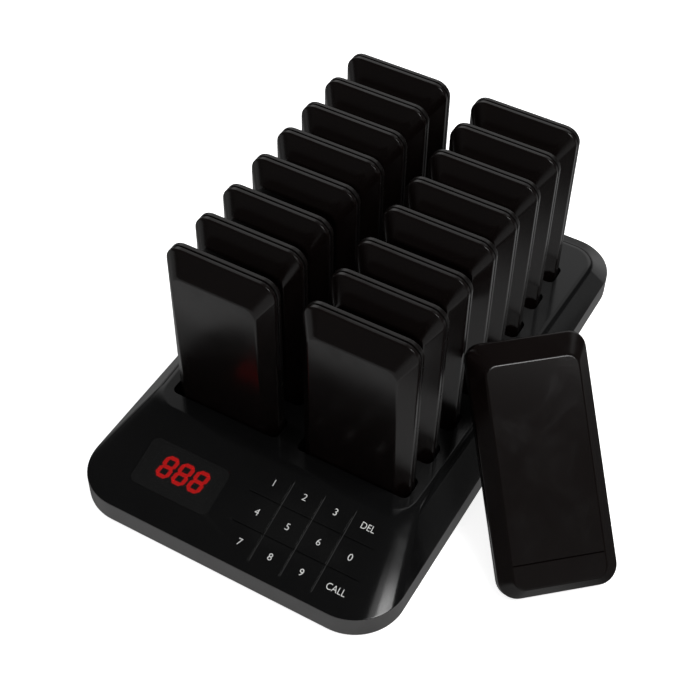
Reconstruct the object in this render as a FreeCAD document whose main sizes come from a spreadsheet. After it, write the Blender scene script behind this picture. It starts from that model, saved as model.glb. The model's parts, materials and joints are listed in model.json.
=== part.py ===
"""Guest pager system: desk base with sixteen charging slots, sixteen docked pagers and one loose pager.

The frame is millimetres, +Z up, +X to the right along the front edge and +Y to the rear. The origin is on
the table, under the centre of the base.
"""
import FreeCAD, Part

import math
import os

import Sketcher

# Driving dimensions: alias, value in millimetres, in degrees or a plain ratio, what it measures.
SIZES = [
    ("base_depth", 264.4, "front wall to rear wall"),
    ("base_corner", 24.0, "plan radius of the base's corners"),
    ("rim_height", 11.6, "underside to rim, the height of the side band"),
    ("deck_height", 26.3, "underside to slot deck"),
    ("deck_front", 49.3, "front rim to deck, in plan"),
    ("deck_rear", 19.6, "rear rim to deck, in plan"),
    ("deck_front_side", 12.7, "side rim to deck, in plan, at the deck's front edge"),
    ("deck_rear_side", 6.1, "side rim to deck, in plan, at the deck's rear edge"),
    ("deck_corner", 13.0, "plan radius of the deck's corners"),
    ("cover_wall", 2.4, "top cover, measured straight down and straight in"),
    ("shell_wall", 2.2, "bottom shell's side wall"),
    ("shell_floor", 2.0, "bottom shell's floor"),
    ("foot_proud", 1.0, "feet below the underside"),
    ("foot_recess", 0.8, "feet let into the underside"),
    ("foot_diameter", 12.0, "rubber foot"),
    ("foot_gap", 0.1, "recess round a foot"),
    ("foot_side", 18.2, "feet from the side walls"),
    ("foot_end", 15.0, "feet from the front and rear walls"),
    ("boss_side", 16.2, "front screw bosses from the side walls"),
    ("boss_front", 30.0, "front screw bosses from the front wall"),
    ("rear_boss_side", 20.2, "rear screw bosses from the side walls"),
    ("centre_well_gap", 0.7, "front centre screw well to the charging board"),
    ("rear_well_gap", 3.9, "rear screw wells to the charging board"),
    ("boss_diameter", 7.0, "cover's screw boss"),
    ("well_diameter", 9.0, "bottom shell's screw well, outside"),
    ("well_height", 3.2, "screw well above the floor"),
    ("well_roof", 1.6, "material under the cover's boss"),
    ("screw_diameter", 2.8, "housing screw's thread"),
    ("screw_length", 8.0, "housing screw under its head"),
    ("screw_head", 5.4, "housing screw's head"),
    ("screw_head_height", 1.8, "housing screw's head"),
    ("screw_gap", 0.3, "free space round a screw and its head"),
    ("thread_gap", 0.05, "pilot hole round a thread"),
    ("first_row", 67.2, "front wall to the first pager's parting plane"),
    ("last_row", 43.4, "last pager's parting plane to the rear wall"),
    ("row_step", 1.9, "extra land behind the third row"),
    ("column_land", 10.3, "deck between the two columns' slots"),
    ("outer_land", 5.75, "deck beside the outer slots, at the deck's front edge"),
    ("slot_side_gap", 1.3, "slot beside a pager, each side"),
    ("slot_face_gap", 1.0, "slot before and behind a pager's foot"),
    ("slot_corner", 3.0, "slot's plan corner radius"),
    ("rack_wall", 1.5, "slot rack's walls"),
    ("rack_floor", 1.3, "slot rack's floor, on which a pager stands"),
    ("rack_corner", 2.0, "rack's outer corner radius"),
    ("board_thickness", 1.0, "charging board"),
    ("board_margin", 0.5, "charging board beyond the racks"),
    ("seat_gap", 0.05, "between stacked flat pieces that only rest"),
    ("pin_diameter", 1.2, "charging pin"),
    ("pin_side", 10.0, "charging pins from a pager's middle"),
    ("pin_back", 1.3, "charging pins behind the parting plane"),
    ("pin_gap", 0.4, "rack's hole round a pin"),
    ("inlet_side", 45.0, "power inlet from the middle plane"),
    ("inlet_width", 9.0, "power inlet's body"),
    ("inlet_length", 11.0, "power inlet's body"),
    ("inlet_height", 7.2, "power inlet's body"),
    ("inlet_nose", 6.6, "diameter of the nose in the wall"),
    ("inlet_bore", 5.6, "barrel plug's bore"),
    ("inlet_bore_depth", 9.0, "barrel plug's bore"),
    ("inlet_pin", 2.0, "centre contact"),
    ("inlet_axis", 3.9, "bore above the board"),
    ("inlet_gap", 0.2, "inlet to the wall and round its nose"),
    ("window_left", 55.2, "display window's left edge, left of the middle plane"),
    ("window_right", 13.4, "display window's right edge, left of the middle plane"),
    ("window_low", 14.0, "display window's low edge, up the slope from the rim"),
    ("window_high", 38.0, "display window's high edge, up the slope"),
    ("window_corner", 3.5, "display window's corner radius"),
    ("window_thickness", 1.2, "display window"),
    ("window_gap", 0.1, "joint round the window"),
    ("digit_left", 46.6, "left edge of the first digit, left of the middle plane"),
    ("digit_low", 21.6, "foot of the digits, up the slope"),
    ("digit_width", 7.0, "one digit"),
    ("digit_height", 11.3, "one digit"),
    ("digit_slant", 0.15, "digits' lean to the right for each millimetre up"),
    ("digit_pitch", 8.3, "one digit to the next"),
    ("bar_width", 1.5, "lit bar"),
    ("bar_thickness", 0.35, "lit bar above the display block"),
    ("bar_gap", 0.15, "between lit bars, and above them"),
    ("module_border", 3.0, "display block beyond its digits"),
    ("module_gap", 0.5, "cover's opening round the display block"),
    ("key_left", 6.1, "first key column, right of the middle plane"),
    ("key_pitch", 15.65, "key column to key column"),
    ("key_low", 11.0, "lowest key row, up the slope"),
    ("key_rise", 15.2, "key row to key row"),
    ("groove_width", 0.7, "engraved line between keys"),
    ("groove_depth", 0.35, "engraved line between keys"),
    ("groove_low", 5.4, "low end of the upright lines, up the slope"),
    ("groove_high", 46.4, "high end of the upright lines, up the slope"),
    ("groove_left", -2.8, "left end of the cross lines"),
    ("groove_right", 62.0, "right end of the cross lines"),
    ("spring_height", 5.5, "touch spring from the board to the cover"),
    ("spring_diameter", 6.0, "touch spring"),
    ("spring_wall", 0.6, "touch spring"),
    ("control_low", 6.0, "control board's low edge, up the slope"),
    ("control_high", 46.0, "control board's high edge, up the slope"),
    ("control_gap", 2.5, "control board to the front screw bosses"),
    ("control_thickness", 1.6, "control board"),
    ("post_diameter", 5.0, "cover's posts for the control board"),
    ("post_side", 3.6, "posts in from the control board's sides"),
    ("post_low", 18.6, "low posts, up the slope"),
    ("post_high", 34.0, "high posts, up the slope"),
    ("small_screw", 2.2, "control board screw's thread"),
    ("small_screw_length", 5.5, "control board screw under its head"),
    ("small_screw_head", 4.2, "control board screw's head"),
    ("small_screw_head_height", 1.3, "control board screw's head"),
    ("radio_width", 18.0, "radio module"),
    ("radio_length", 14.0, "radio module"),
    ("radio_height", 3.0, "radio module"),
    ("chip_side", 10.0, "controller chip"),
    ("chip_height", 1.4, "controller chip"),
    ("buzzer_diameter", 12.0, "buzzer"),
    ("buzzer_height", 5.5, "buzzer"),
    ("antenna_diameter", 1.2, "antenna wire"),
    ("antenna_length", 60.0, "antenna wire"),
    ("ribbon_width", 12.0, "ribbon cable"),
    ("ribbon_thickness", 0.8, "ribbon cable"),
    ("ribbon_side", 20.0, "ribbon cable from the middle plane"),
    ("ribbon_front", 43.0, "ribbon cable's upright part from the front wall"),
    ("ribbon_tab", 50.0, "charging board's front tab from the front wall"),
    ("pager_width", 54.0, "pager"),
    ("pager_height", 111.5, "pager"),
    ("pager_top_corner", 7.5, "pager's top corner radius"),
    ("pager_foot_corner", 9.0, "pager's bottom corner radius"),
    ("pager_band", 2.3, "flat edge of one shell, from the parting plane"),
    ("pager_seam", 0.3, "open seam of one shell, from the parting plane"),
    ("pager_front_top", 9.0, "front face before the parting plane, at its top"),
    ("pager_front_foot", 7.0, "front face before the parting plane, at its foot"),
    ("face_side", 6.0, "front face in from the sides"),
    ("face_top", 10.0, "front face down from the top"),
    ("face_foot", 4.0, "front face up from the bottom"),
    ("face_corner", 5.5, "front face's corner radius"),
    ("pager_back", 3.6, "back face behind the parting plane"),
    ("back_side", 2.5, "back face in from every edge"),
    ("pager_wall", 1.6, "pager's shells"),
    ("tongue_depth", 1.2, "back shell's tongue past the parting plane"),
    ("tongue_wall", 1.2, "back shell's tongue"),
    ("tongue_gap", 0.1, "tongue inside the front shell"),
    ("line_height", 15.0, "engraved line above the pager's bottom"),
    ("line_margin", 0.5, "engraved line in from the front face's sides"),
    ("line_width", 0.5, "engraved line"),
    ("line_depth", 0.3, "engraved line"),
    ("contact_length", 4.0, "charging contact"),
    ("contact_width", 1.2, "charging contact"),
    ("contact_height", 2.4, "charging contact"),
    ("contact_gap", 0.1, "shell round a charging contact"),
    ("cell_width", 34.0, "battery"),
    ("cell_height", 42.0, "battery"),
    ("cell_thickness", 5.0, "battery"),
    ("cell_foot", 8.0, "battery above the pager's bottom"),
    ("circuit_width", 38.0, "pager's circuit board"),
    ("circuit_gap", 2.0, "circuit board above the vibration motor"),
    ("circuit_top", 9.5, "circuit board below the pager's top"),
    ("circuit_thickness", 1.0, "pager's circuit board"),
    ("motor_diameter", 6.0, "vibration motor"),
    ("motor_length", 12.0, "vibration motor"),
    ("motor_gap", 2.0, "vibration motor above the battery"),
    ("led_side", 3.0, "signal light"),
    ("led_height", 1.2, "signal light"),
    ("led_margin", 6.0, "signal lights in from the circuit board's edges"),
    ("loose_turn", 41.6, "loose pager's foot, turned from the front edge's direction"),
    ("loose_lean", 47.7, "loose pager's lean from upright"),
    ("loose_gap", 0.3, "loose pager's corner from the docked pager that it leans on"),
]

ROWS = 8
ROWS_BEFORE_STEP = 3
LEANS_ON_ROW = 2
LEFT, RIGHT = -1, 1

# Sizes and places that several pieces share, as expressions of the driving dimensions.
SLOT_WIDTH = "(Sizes.pager_width + 2 * Sizes.slot_side_gap)"
COLUMN_SIDE = f"(({SLOT_WIDTH} + Sizes.column_land) / 2)"
DECK_FRONT_WIDTH = f"(2 * ({COLUMN_SIDE} + {SLOT_WIDTH} / 2 + Sizes.outer_land))"
BASE_WIDTH = f"({DECK_FRONT_WIDTH} + 2 * Sizes.deck_front_side)"
DECK_REAR_WIDTH = f"({BASE_WIDTH} - 2 * Sizes.deck_rear_side)"
ROW_PITCH = (
    "((Sizes.base_depth - Sizes.first_row - Sizes.row_step - Sizes.last_row)"
    f" / {ROWS - 1})"
)
UNDERSIDE = "Sizes.foot_proud"
RIM = "(Sizes.foot_proud + Sizes.rim_height)"
DECK = "(Sizes.foot_proud + Sizes.deck_height)"
FLOOR = "(Sizes.foot_proud + Sizes.shell_floor)"
BOARD_TOP = f"({FLOOR} + Sizes.board_thickness)"
RACK_SEAT = f"({BOARD_TOP} + Sizes.rack_floor)"
PAGER_FOOT = f"({RACK_SEAT} + Sizes.seat_gap)"
DECK_UNDERSIDE = f"({DECK} - Sizes.cover_wall)"
FRONT = "(-Sizes.base_depth / 2)"
REAR = "(Sizes.base_depth / 2)"
WELL_TOP = f"({FLOOR} + Sizes.well_height)"
SLOPE = "atan((Sizes.deck_height - Sizes.rim_height) / Sizes.deck_front)"
PANEL_WALL = f"(Sizes.cover_wall * (cos({SLOPE}) + sin({SLOPE})))"
CONTROL_TOP = f"({PANEL_WALL} + Sizes.spring_height)"
CONTROL_UNDERSIDE = f"({CONTROL_TOP} + Sizes.control_thickness)"
SLOT_FRONT = "(-Sizes.pager_front_foot - Sizes.slot_face_gap)"
SLOT_REAR = "(Sizes.pager_back + Sizes.slot_face_gap)"
RACK_WIDTH = f"({SLOT_WIDTH} + 2 * Sizes.rack_wall)"
RACK_LOW = f"({FRONT} + Sizes.first_row + {SLOT_FRONT} - Sizes.rack_wall)"
RACK_HIGH = f"({REAR} - Sizes.last_row + {SLOT_REAR} + Sizes.rack_wall)"
BOARD_LOW = f"({RACK_LOW} - Sizes.board_margin)"
BOARD_HIGH = f"({RACK_HIGH} + Sizes.board_margin)"
CONTROL_WIDTH = f"({BASE_WIDTH} - 2 * Sizes.boss_side - Sizes.boss_diameter - 2 * Sizes.control_gap)"
MODULE_LEFT = "(-Sizes.digit_left - Sizes.module_border)"
MODULE_WIDTH = (
    "(2 * Sizes.digit_pitch + Sizes.digit_width + Sizes.digit_slant * Sizes.digit_height"
    " + 2 * Sizes.module_border)"
)
MODULE_LOW = "(Sizes.digit_low - Sizes.module_border)"
MODULE_HEIGHT = "(Sizes.digit_height + 2 * Sizes.module_border)"
MODULE_TOP = "(Sizes.window_thickness + Sizes.bar_gap + Sizes.bar_thickness)"
WINDOW_MIDDLE = "(-(Sizes.window_left + Sizes.window_right) / 2)"
FACE_TILT = (
    "atan((Sizes.pager_front_top - Sizes.pager_front_foot)"
    " / (Sizes.pager_height - Sizes.face_top - Sizes.face_foot))"
)

MOTOR_FOOT = "(Sizes.cell_foot + Sizes.cell_height + Sizes.motor_gap)"
CIRCUIT_FOOT = f"({MOTOR_FOOT} + Sizes.motor_diameter + Sizes.circuit_gap)"
CIRCUIT_HEIGHT = f"(Sizes.pager_height - Sizes.circuit_top - {CIRCUIT_FOOT})"

doc = FreeCAD.newDocument("GuestPagerSystem")
nodes = []


def make_sheet():
    """Writes the driving dimensions to the document's spreadsheet."""
    sheet = doc.addObject("Spreadsheet::Sheet", "Sizes")
    for row, (alias, value, meaning) in enumerate(SIZES, start=1):
        sheet.set(f"A{row}", meaning)
        sheet.set(f"B{row}", str(value))
        sheet.setAlias(f"B{row}", alias)
    doc.recompute()
    return sheet


sizes = make_sheet()


def number(expression):
    """The value of an expression, in millimetres or degrees."""
    value = sizes.evalExpression(str(expression))
    return float(getattr(value, "Value", value))


def row_place(row):
    """The parting plane of the pagers in a row, as an expression."""
    step = " + Sizes.row_step" if row >= ROWS_BEFORE_STEP else ""
    return f"({FRONT} + Sizes.first_row + {row} * {ROW_PITCH}{step})"


def column_place(side):
    """The middle of the left or right pager column, as an expression."""
    return f"({side} * {COLUMN_SIDE})"


def bind(feature, **expressions):
    """Binds properties to expressions; a double underscore in a name stands for a dot."""
    for name, expression in expressions.items():
        feature.setExpression(name.replace("__", "."), str(expression))
    return feature


def place(feature, x="0", y="0", z="0"):
    """Binds an object's position."""
    return bind(feature, Placement__Base__x=x, Placement__Base__y=y, Placement__Base__z=z)


def place_on_slope(feature):
    """Puts an object made in the slope's frame (x right, y up the slope, z out of it) on the slope."""
    feature.Placement = FreeCAD.Placement(
        FreeCAD.Vector(0, number(FRONT), number(RIM)),
        FreeCAD.Rotation(FreeCAD.Vector(1, 0, 0), number(SLOPE)),
    )
    return bind(feature, Placement__Base__y=FRONT, Placement__Base__z=RIM, Placement__Rotation__Angle=SLOPE)


def node(feature, name):
    """Names an object as one of the model's sub-parts."""
    feature.Label = name
    nodes.append(feature)
    return feature


def box(x, y, z, length, width, height):
    """A box with its low corner at x, y, z."""
    solid = doc.addObject("Part::Box", "Block")
    bind(solid, Length=length, Width=width, Height=height)
    return place(solid, x, y, z)


def cylinder(x, y, z, radius, height):
    """An upright cylinder with the middle of its foot at x, y, z."""
    solid = doc.addObject("Part::Cylinder", "Round")
    bind(solid, Radius=radius, Height=height)
    return place(solid, x, y, z)


def fuse(*solids):
    """The union of solids."""
    union = doc.addObject("Part::MultiFuse", "Union")
    union.Shapes = list(solids)
    return union


def cut(solid, tool):
    """A solid less a tool."""
    rest = doc.addObject("Part::Cut", "Cut")
    rest.Base = solid
    rest.Tool = tool
    return rest


def group(*solids):
    """Separate solids kept as one object."""
    pieces = doc.addObject("Part::Compound", "Group")
    pieces.Links = list(solids)
    return pieces


def new_body(name):
    """An empty PartDesign body."""
    return doc.addObject("PartDesign::Body", name)


def new_sketch(body, plane, x="0", y="0", lift="0", tilt=None):
    """A sketch on one of a body's origin planes, shifted in that plane, lifted off it and tilted about x."""
    sketch = body.newObject("Sketcher::SketchObject", "Sketch")
    planes = {feature.Role: feature for feature in body.Origin.OriginFeatures}
    sketch.AttachmentSupport = [(planes[plane], "")]
    sketch.MapMode = "FlatFace"
    angle = number(tilt) if tilt else 0
    rotation = FreeCAD.Rotation(FreeCAD.Vector(1, 0, 0), angle)
    offset = FreeCAD.Vector(number(x), number(y), number(lift))
    sketch.AttachmentOffset = FreeCAD.Placement(offset, rotation)
    bind(sketch, AttachmentOffset__Base__x=x, AttachmentOffset__Base__y=y, AttachmentOffset__Base__z=lift)
    if tilt:
        bind(sketch, AttachmentOffset__Rotation__Angle=tilt)
    return sketch


def dimension(sketch, kind, places, expression):
    """Adds a named distance or radius to a sketch and binds it; a negative distance is read backwards."""
    value = number(expression)
    if value < 0:
        places = places[2:] + places[:2]
        expression = f"-({expression})"
    index = sketch.addConstraint(Sketcher.Constraint(kind, *places, abs(value)))
    name = f"size{index}"
    sketch.renameConstraint(index, name)
    sketch.setExpression(f"Constraints.{name}", str(expression))


def draw_rounded(sketch, low, high, low_width, high_width, low_corner, high_corner=None):
    """Draws a rounded outline, symmetric about the sketch's upright axis.

    It runs from low to high, is low_width wide at its low edge and high_width at its high edge.
    """
    high_corner = high_corner or low_corner
    half = [number(low_width) / 2, number(high_width) / 2]
    ends = [number(low), number(high)]
    radii = [number(low_corner)] * 2 + [number(high_corner)] * 2
    corners = [
        FreeCAD.Vector(-half[0], ends[0]),
        FreeCAD.Vector(half[0], ends[0]),
        FreeCAD.Vector(half[1], ends[1]),
        FreeCAD.Vector(-half[1], ends[1]),
    ]
    points = [sketch.addGeometry(Part.Point(corner), True) for corner in corners]
    starts, stops, arcs = [], [], []
    for i, corner in enumerate(corners):
        before = (corners[i - 1] - corner).normalize()
        after = (corners[(i + 1) % 4] - corner).normalize()
        half_angle = before.getAngle(after) / 2
        reach = radii[i] / math.tan(half_angle)
        centre = corner + (before + after).normalize() * (radii[i] / math.sin(half_angle))
        starts.append(corner + before * reach)
        stops.append(corner + after * reach)
        angles = [math.atan2(p.y - centre.y, p.x - centre.x) for p in (starts[i], stops[i])]
        circle = Part.Circle(centre, FreeCAD.Vector(0, 0, 1), radii[i])
        if angles[1] < angles[0]:
            angles[1] += 2 * math.pi
        arcs.append(sketch.addGeometry(Part.ArcOfCircle(circle, *angles), False))
    lines = [
        sketch.addGeometry(Part.LineSegment(stops[i], starts[(i + 1) % 4]), False)
        for i in range(4)
    ]
    for i in range(4):
        sketch.addConstraint(Sketcher.Constraint("Tangent", lines[i], 2, arcs[(i + 1) % 4], 1))
        sketch.addConstraint(Sketcher.Constraint("Tangent", arcs[i], 2, lines[i], 1))
        sketch.addConstraint(Sketcher.Constraint("PointOnObject", points[i], 1, lines[i]))
        sketch.addConstraint(Sketcher.Constraint("PointOnObject", points[(i + 1) % 4], 1, lines[i]))
    sketch.addConstraint(Sketcher.Constraint("Symmetric", points[0], 1, points[1], 1, -2))
    sketch.addConstraint(Sketcher.Constraint("Symmetric", points[3], 1, points[2], 1, -2))
    dimension(sketch, "DistanceX", [-1, 1, points[1], 1], f"{low_width} / 2")
    dimension(sketch, "DistanceX", [-1, 1, points[2], 1], f"{high_width} / 2")
    dimension(sketch, "DistanceY", [-1, 1, points[1], 1], low)
    dimension(sketch, "DistanceY", [-1, 1, points[2], 1], high)
    for arc, corner in zip(arcs, [low_corner] * 2 + [high_corner] * 2):
        dimension(sketch, "Radius", [arc], corner)
    return sketch


def draw_circles(sketch, circles):
    """Draws circles, each given as x, y and diameter."""
    for x, y, diameter in circles:
        centre = FreeCAD.Vector(number(x), number(y), 0)
        circle = Part.Circle(centre, FreeCAD.Vector(0, 0, 1), number(diameter) / 2)
        index = sketch.addGeometry(circle, False)
        for kind, expression in (("DistanceX", x), ("DistanceY", y)):
            if number(expression) == 0:
                axis = -2 if kind == "DistanceX" else -1
                sketch.addConstraint(Sketcher.Constraint("PointOnObject", index, 3, axis))
            else:
                dimension(sketch, kind, [-1, 1, index, 3], expression)
        dimension(sketch, "Radius", [index], f"{diameter} / 2")
    return sketch


def loft(body, kind, low, high):
    """Adds or takes away a ruled loft between two sketches."""
    feature = body.newObject(f"PartDesign::{kind}Loft", "Loft")
    feature.Profile = low
    feature.Sections = [high]
    feature.Ruled = True
    return feature


def pad(body, sketch, length, backwards=False):
    """Raises a sketch to a solid."""
    feature = body.newObject("PartDesign::Pad", "Pad")
    feature.Profile = sketch
    feature.Reversed = backwards
    return bind(feature, Length=length)


def pocket(body, sketch, depth, forwards=False):
    """Cuts a sketch into a body, against the sketch's normal unless forwards is set."""
    feature = body.newObject("PartDesign::Pocket", "Pocket")
    feature.Profile = sketch
    feature.Reversed = forwards
    return bind(feature, Length=depth)


def repeat(body, feature, sketch, count, pitch):
    """Repeats a feature along the sketch's upright axis."""
    pattern = body.newObject("PartDesign::LinearPattern", "Pattern")
    pattern.Originals = [feature]
    pattern.Direction = (sketch, ["V_Axis"])
    pattern.Occurrences = count
    bind(pattern, Length=f"{count - 1} * {pitch}")
    body.Tip = pattern
    return pattern


def row_blocks():
    """The two runs of equally spaced rows: first row and number of rows."""
    return ((0, ROWS_BEFORE_STEP), (ROWS_BEFORE_STEP, ROWS - ROWS_BEFORE_STEP))


def screw(thread, length, head, head_height):
    """A screw that stands on its head at the origin, with a cross recess in the head."""
    head_solid = cylinder("0", "0", "0", f"{head} / 2", head_height)
    shank = cylinder("0", "0", head_height, f"{thread} / 2", length)
    reach, slit = f"({head} * 0.6)", f"({head} * 0.14)"
    recess = fuse(
        box(f"-{reach} / 2", f"-{slit} / 2", "0", reach, slit, f"{head_height} / 2"),
        box(f"-{slit} / 2", f"-{reach} / 2", "0", slit, reach, f"{head_height} / 2"),
    )
    return cut(fuse(head_solid, shank), recess)


def copy_at(solid, x="0", y="0", z="0"):
    """A copy of a solid at another place."""
    return place(group(solid), x, y, z)


# Base housing


def boss_places():
    """Plan positions of the six housing screws: x, y."""
    side, rear_side = (f"({BASE_WIDTH} / 2 - Sizes.{name})" for name in ("boss_side", "rear_boss_side"))
    front = f"({FRONT} + Sizes.boss_front)"
    centre = f"({BOARD_LOW} - Sizes.centre_well_gap - Sizes.well_diameter / 2)"
    rear = f"({BOARD_HIGH} + Sizes.rear_well_gap + Sizes.well_diameter / 2)"
    return [
        (f"-{side}", front),
        (side, front),
        ("0", centre),
        (f"-{rear_side}", rear),
        (rear_side, rear),
        ("0", rear),
    ]


def post_places():
    """Positions of the control board's screws in the slope's frame: x, y."""
    return [
        (f"({side} * ({CONTROL_WIDTH} / 2 - Sizes.post_side))", height)
        for side in (LEFT, RIGHT)
        for height in ("Sizes.post_low", "Sizes.post_high")
    ]


def cut_slots(body, side, lift, depth):
    """Cuts one column of pager slots downwards from a height."""
    for first, count in row_blocks():
        sketch = new_sketch(body, "XY_Plane", column_place(side), row_place(first), lift)
        draw_rounded(sketch, SLOT_FRONT, SLOT_REAR, SLOT_WIDTH, SLOT_WIDTH, "Sizes.slot_corner")
        repeat(body, pocket(body, sketch, depth), sketch, count, ROW_PITCH)


def slope_sketch(body, x="0", depth="0"):
    """A sketch on the control panel's slope, or a depth below it."""
    return new_sketch(
        body,
        "XY_Plane",
        x,
        f"({FRONT} + ({depth}) * sin({SLOPE}))",
        f"({RIM} - ({depth}) * cos({SLOPE}))",
        SLOPE,
    )


def engrave(body, x, low, high, width, corner, depth):
    """Cuts a rounded recess into the slope, starting a little above it."""
    sketch = slope_sketch(body, x, "-Sizes.seat_gap")
    draw_rounded(sketch, low, high, width, width, corner)
    pocket(body, sketch, f"({depth} + Sizes.seat_gap)")


def engrave_keys(body):
    """Engraves the three upright and two cross lines between the twelve touch keys."""
    width, depth = "Sizes.groove_width", "Sizes.groove_depth"
    corner = f"({width} * 0.4)"
    for column in range(3):
        middle = f"(Sizes.key_left + ({column} + 0.5) * Sizes.key_pitch)"
        engrave(body, middle, "Sizes.groove_low", "Sizes.groove_high", width, corner, depth)
    for row in range(2):
        height = f"(Sizes.key_low + ({row} + 0.5) * Sizes.key_rise)"
        middle = "((Sizes.groove_left + Sizes.groove_right) / 2)"
        length = "(Sizes.groove_right - Sizes.groove_left)"
        low, high = f"({height} - {width} / 2)", f"({height} + {width} / 2)"
        engrave(body, middle, low, high, length, corner, depth)


def make_top_cover():
    """The glossy cover: a hollow loft from the rim to the deck, with slots, window and screw bosses."""
    body = new_body("TopCover")
    deck_low = f"({FRONT} + Sizes.deck_front)"
    deck_high = f"({REAR} - Sizes.deck_rear)"
    rim = new_sketch(body, "XY_Plane", lift=RIM)
    draw_rounded(rim, FRONT, REAR, BASE_WIDTH, BASE_WIDTH, "Sizes.base_corner")
    deck = new_sketch(body, "XY_Plane", lift=DECK)
    deck_widths = (DECK_FRONT_WIDTH, DECK_REAR_WIDTH)
    draw_rounded(deck, deck_low, deck_high, *deck_widths, "Sizes.deck_corner")
    loft(body, "Additive", rim, deck)

    wall = "Sizes.cover_wall"
    inner_rim = new_sketch(body, "XY_Plane", lift=f"({RIM} - {wall})")
    inner_width = f"({BASE_WIDTH} - 2 * {wall})"
    inner_corner = f"(Sizes.base_corner - {wall})"
    inner_ends = (f"({FRONT} + {wall})", f"({REAR} - {wall})")
    draw_rounded(inner_rim, *inner_ends, inner_width, inner_width, inner_corner)
    inner_deck = new_sketch(body, "XY_Plane", lift=DECK_UNDERSIDE)
    inner_widths = [f"({width} - 2 * {wall})" for width in deck_widths]
    inner_corner = f"(Sizes.deck_corner - {wall})"
    draw_rounded(inner_deck, f"({deck_low} + {wall})", f"({deck_high} - {wall})", *inner_widths, inner_corner)
    loft(body, "Subtractive", inner_rim, inner_deck)

    bosses = boss_places()
    under_slope = f"({RIM} + Sizes.boss_front * tan({SLOPE}) - {wall} / 2)"
    under_deck = f"({DECK} - {wall} / 2)"
    for places, top in ((bosses[:2], under_slope), (bosses[2:], under_deck)):
        sketch = new_sketch(body, "XY_Plane", lift=WELL_TOP)
        draw_circles(sketch, [(x, y, "Sizes.boss_diameter") for x, y in places])
        pad(body, sketch, f"({top} - {WELL_TOP})")
    sketch = new_sketch(body, "XY_Plane", lift=WELL_TOP)
    pilot = "(Sizes.screw_diameter + 2 * Sizes.thread_gap)"
    draw_circles(sketch, [(x, y, pilot) for x, y in bosses])
    pocket(body, sketch, "Sizes.screw_length", forwards=True)

    posts = slope_sketch(body, depth=CONTROL_TOP)
    draw_circles(posts, [(x, y, "Sizes.post_diameter") for x, y in post_places()])
    pad(body, posts, f"(Sizes.spring_height + {wall} / 2)")
    holes = slope_sketch(body, depth=CONTROL_TOP)
    pilot = "(Sizes.small_screw + 2 * Sizes.thread_gap)"
    draw_circles(holes, [(x, y, pilot) for x, y in post_places()])
    pocket(body, holes, "Sizes.small_screw_length", forwards=True)

    width = "(Sizes.window_left - Sizes.window_right)"
    ends = ("Sizes.window_low", "Sizes.window_high")
    engrave(body, WINDOW_MIDDLE, *ends, width, "Sizes.window_corner", "Sizes.window_thickness")
    width = f"({MODULE_WIDTH} + 2 * Sizes.module_gap)"
    ends = (
        f"({MODULE_LOW} - Sizes.module_gap)",
        f"({MODULE_LOW} + {MODULE_HEIGHT} + Sizes.module_gap)",
    )
    through = f"({PANEL_WALL} + Sizes.module_gap)"
    engrave(body, f"({MODULE_LEFT} + {MODULE_WIDTH} / 2)", *ends, width, "Sizes.module_gap", through)

    engrave_keys(body)
    for side in (LEFT, RIGHT):
        cut_slots(body, side, DECK, "(Sizes.cover_wall + Sizes.seat_gap)")
    return node(body, "top_cover")


def make_bottom_shell():
    """The tray: floor, side wall up to the rim, screw wells, recesses for the feet and the inlet's hole."""
    body = new_body("BottomShell")
    width = BASE_WIDTH
    outline = new_sketch(body, "XY_Plane", lift=UNDERSIDE)
    draw_rounded(outline, FRONT, REAR, width, width, "Sizes.base_corner")
    pad(body, outline, "Sizes.rim_height")

    wall = "Sizes.shell_wall"
    hollow = new_sketch(body, "XY_Plane", lift=RIM)
    inner = f"({width} - 2 * {wall})"
    corner = f"(Sizes.base_corner - {wall})"
    draw_rounded(hollow, f"({FRONT} + {wall})", f"({REAR} - {wall})", inner, inner, corner)
    pocket(body, hollow, "(Sizes.rim_height - Sizes.shell_floor)")

    wells = new_sketch(body, "XY_Plane", lift=FLOOR)
    draw_circles(wells, [(x, y, "Sizes.well_diameter") for x, y in boss_places()])
    pad(body, wells, "(Sizes.well_height - Sizes.seat_gap)")
    heads = new_sketch(body, "XY_Plane", lift=UNDERSIDE)
    head = "(Sizes.screw_head + 2 * Sizes.screw_gap)"
    draw_circles(heads, [(x, y, head) for x, y in boss_places()])
    pocket(body, heads, f"({WELL_TOP} - Sizes.well_roof - {UNDERSIDE})", forwards=True)
    holes = new_sketch(body, "XY_Plane", lift=WELL_TOP)
    hole = "(Sizes.screw_diameter + 2 * Sizes.screw_gap)"
    draw_circles(holes, [(x, y, hole) for x, y in boss_places()])
    pocket(body, holes, "(2 * Sizes.well_roof)")

    feet = new_sketch(body, "XY_Plane", lift=UNDERSIDE)
    recess = "(Sizes.foot_diameter + 2 * Sizes.foot_gap)"
    draw_circles(feet, [(x, y, recess) for x, y in foot_places()])
    pocket(body, feet, "Sizes.foot_recess", forwards=True)

    inlet = new_sketch(body, "XZ_Plane", lift=f"-{REAR}")
    nose = "(Sizes.inlet_nose + 2 * Sizes.inlet_gap)"
    draw_circles(inlet, [("Sizes.inlet_side", f"({BOARD_TOP} + Sizes.inlet_axis)", nose)])
    pocket(body, inlet, "(2 * Sizes.shell_wall)", forwards=True)
    return node(body, "bottom_shell")


def foot_places():
    """Plan positions of the four rubber feet: x, y."""
    foot_side = f"({BASE_WIDTH} / 2 - Sizes.foot_side)"
    return [
        (f"({side} * {foot_side})", f"({end} * (Sizes.base_depth / 2 - Sizes.foot_end))")
        for side in (LEFT, RIGHT)
        for end in (-1, 1)
    ]


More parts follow.
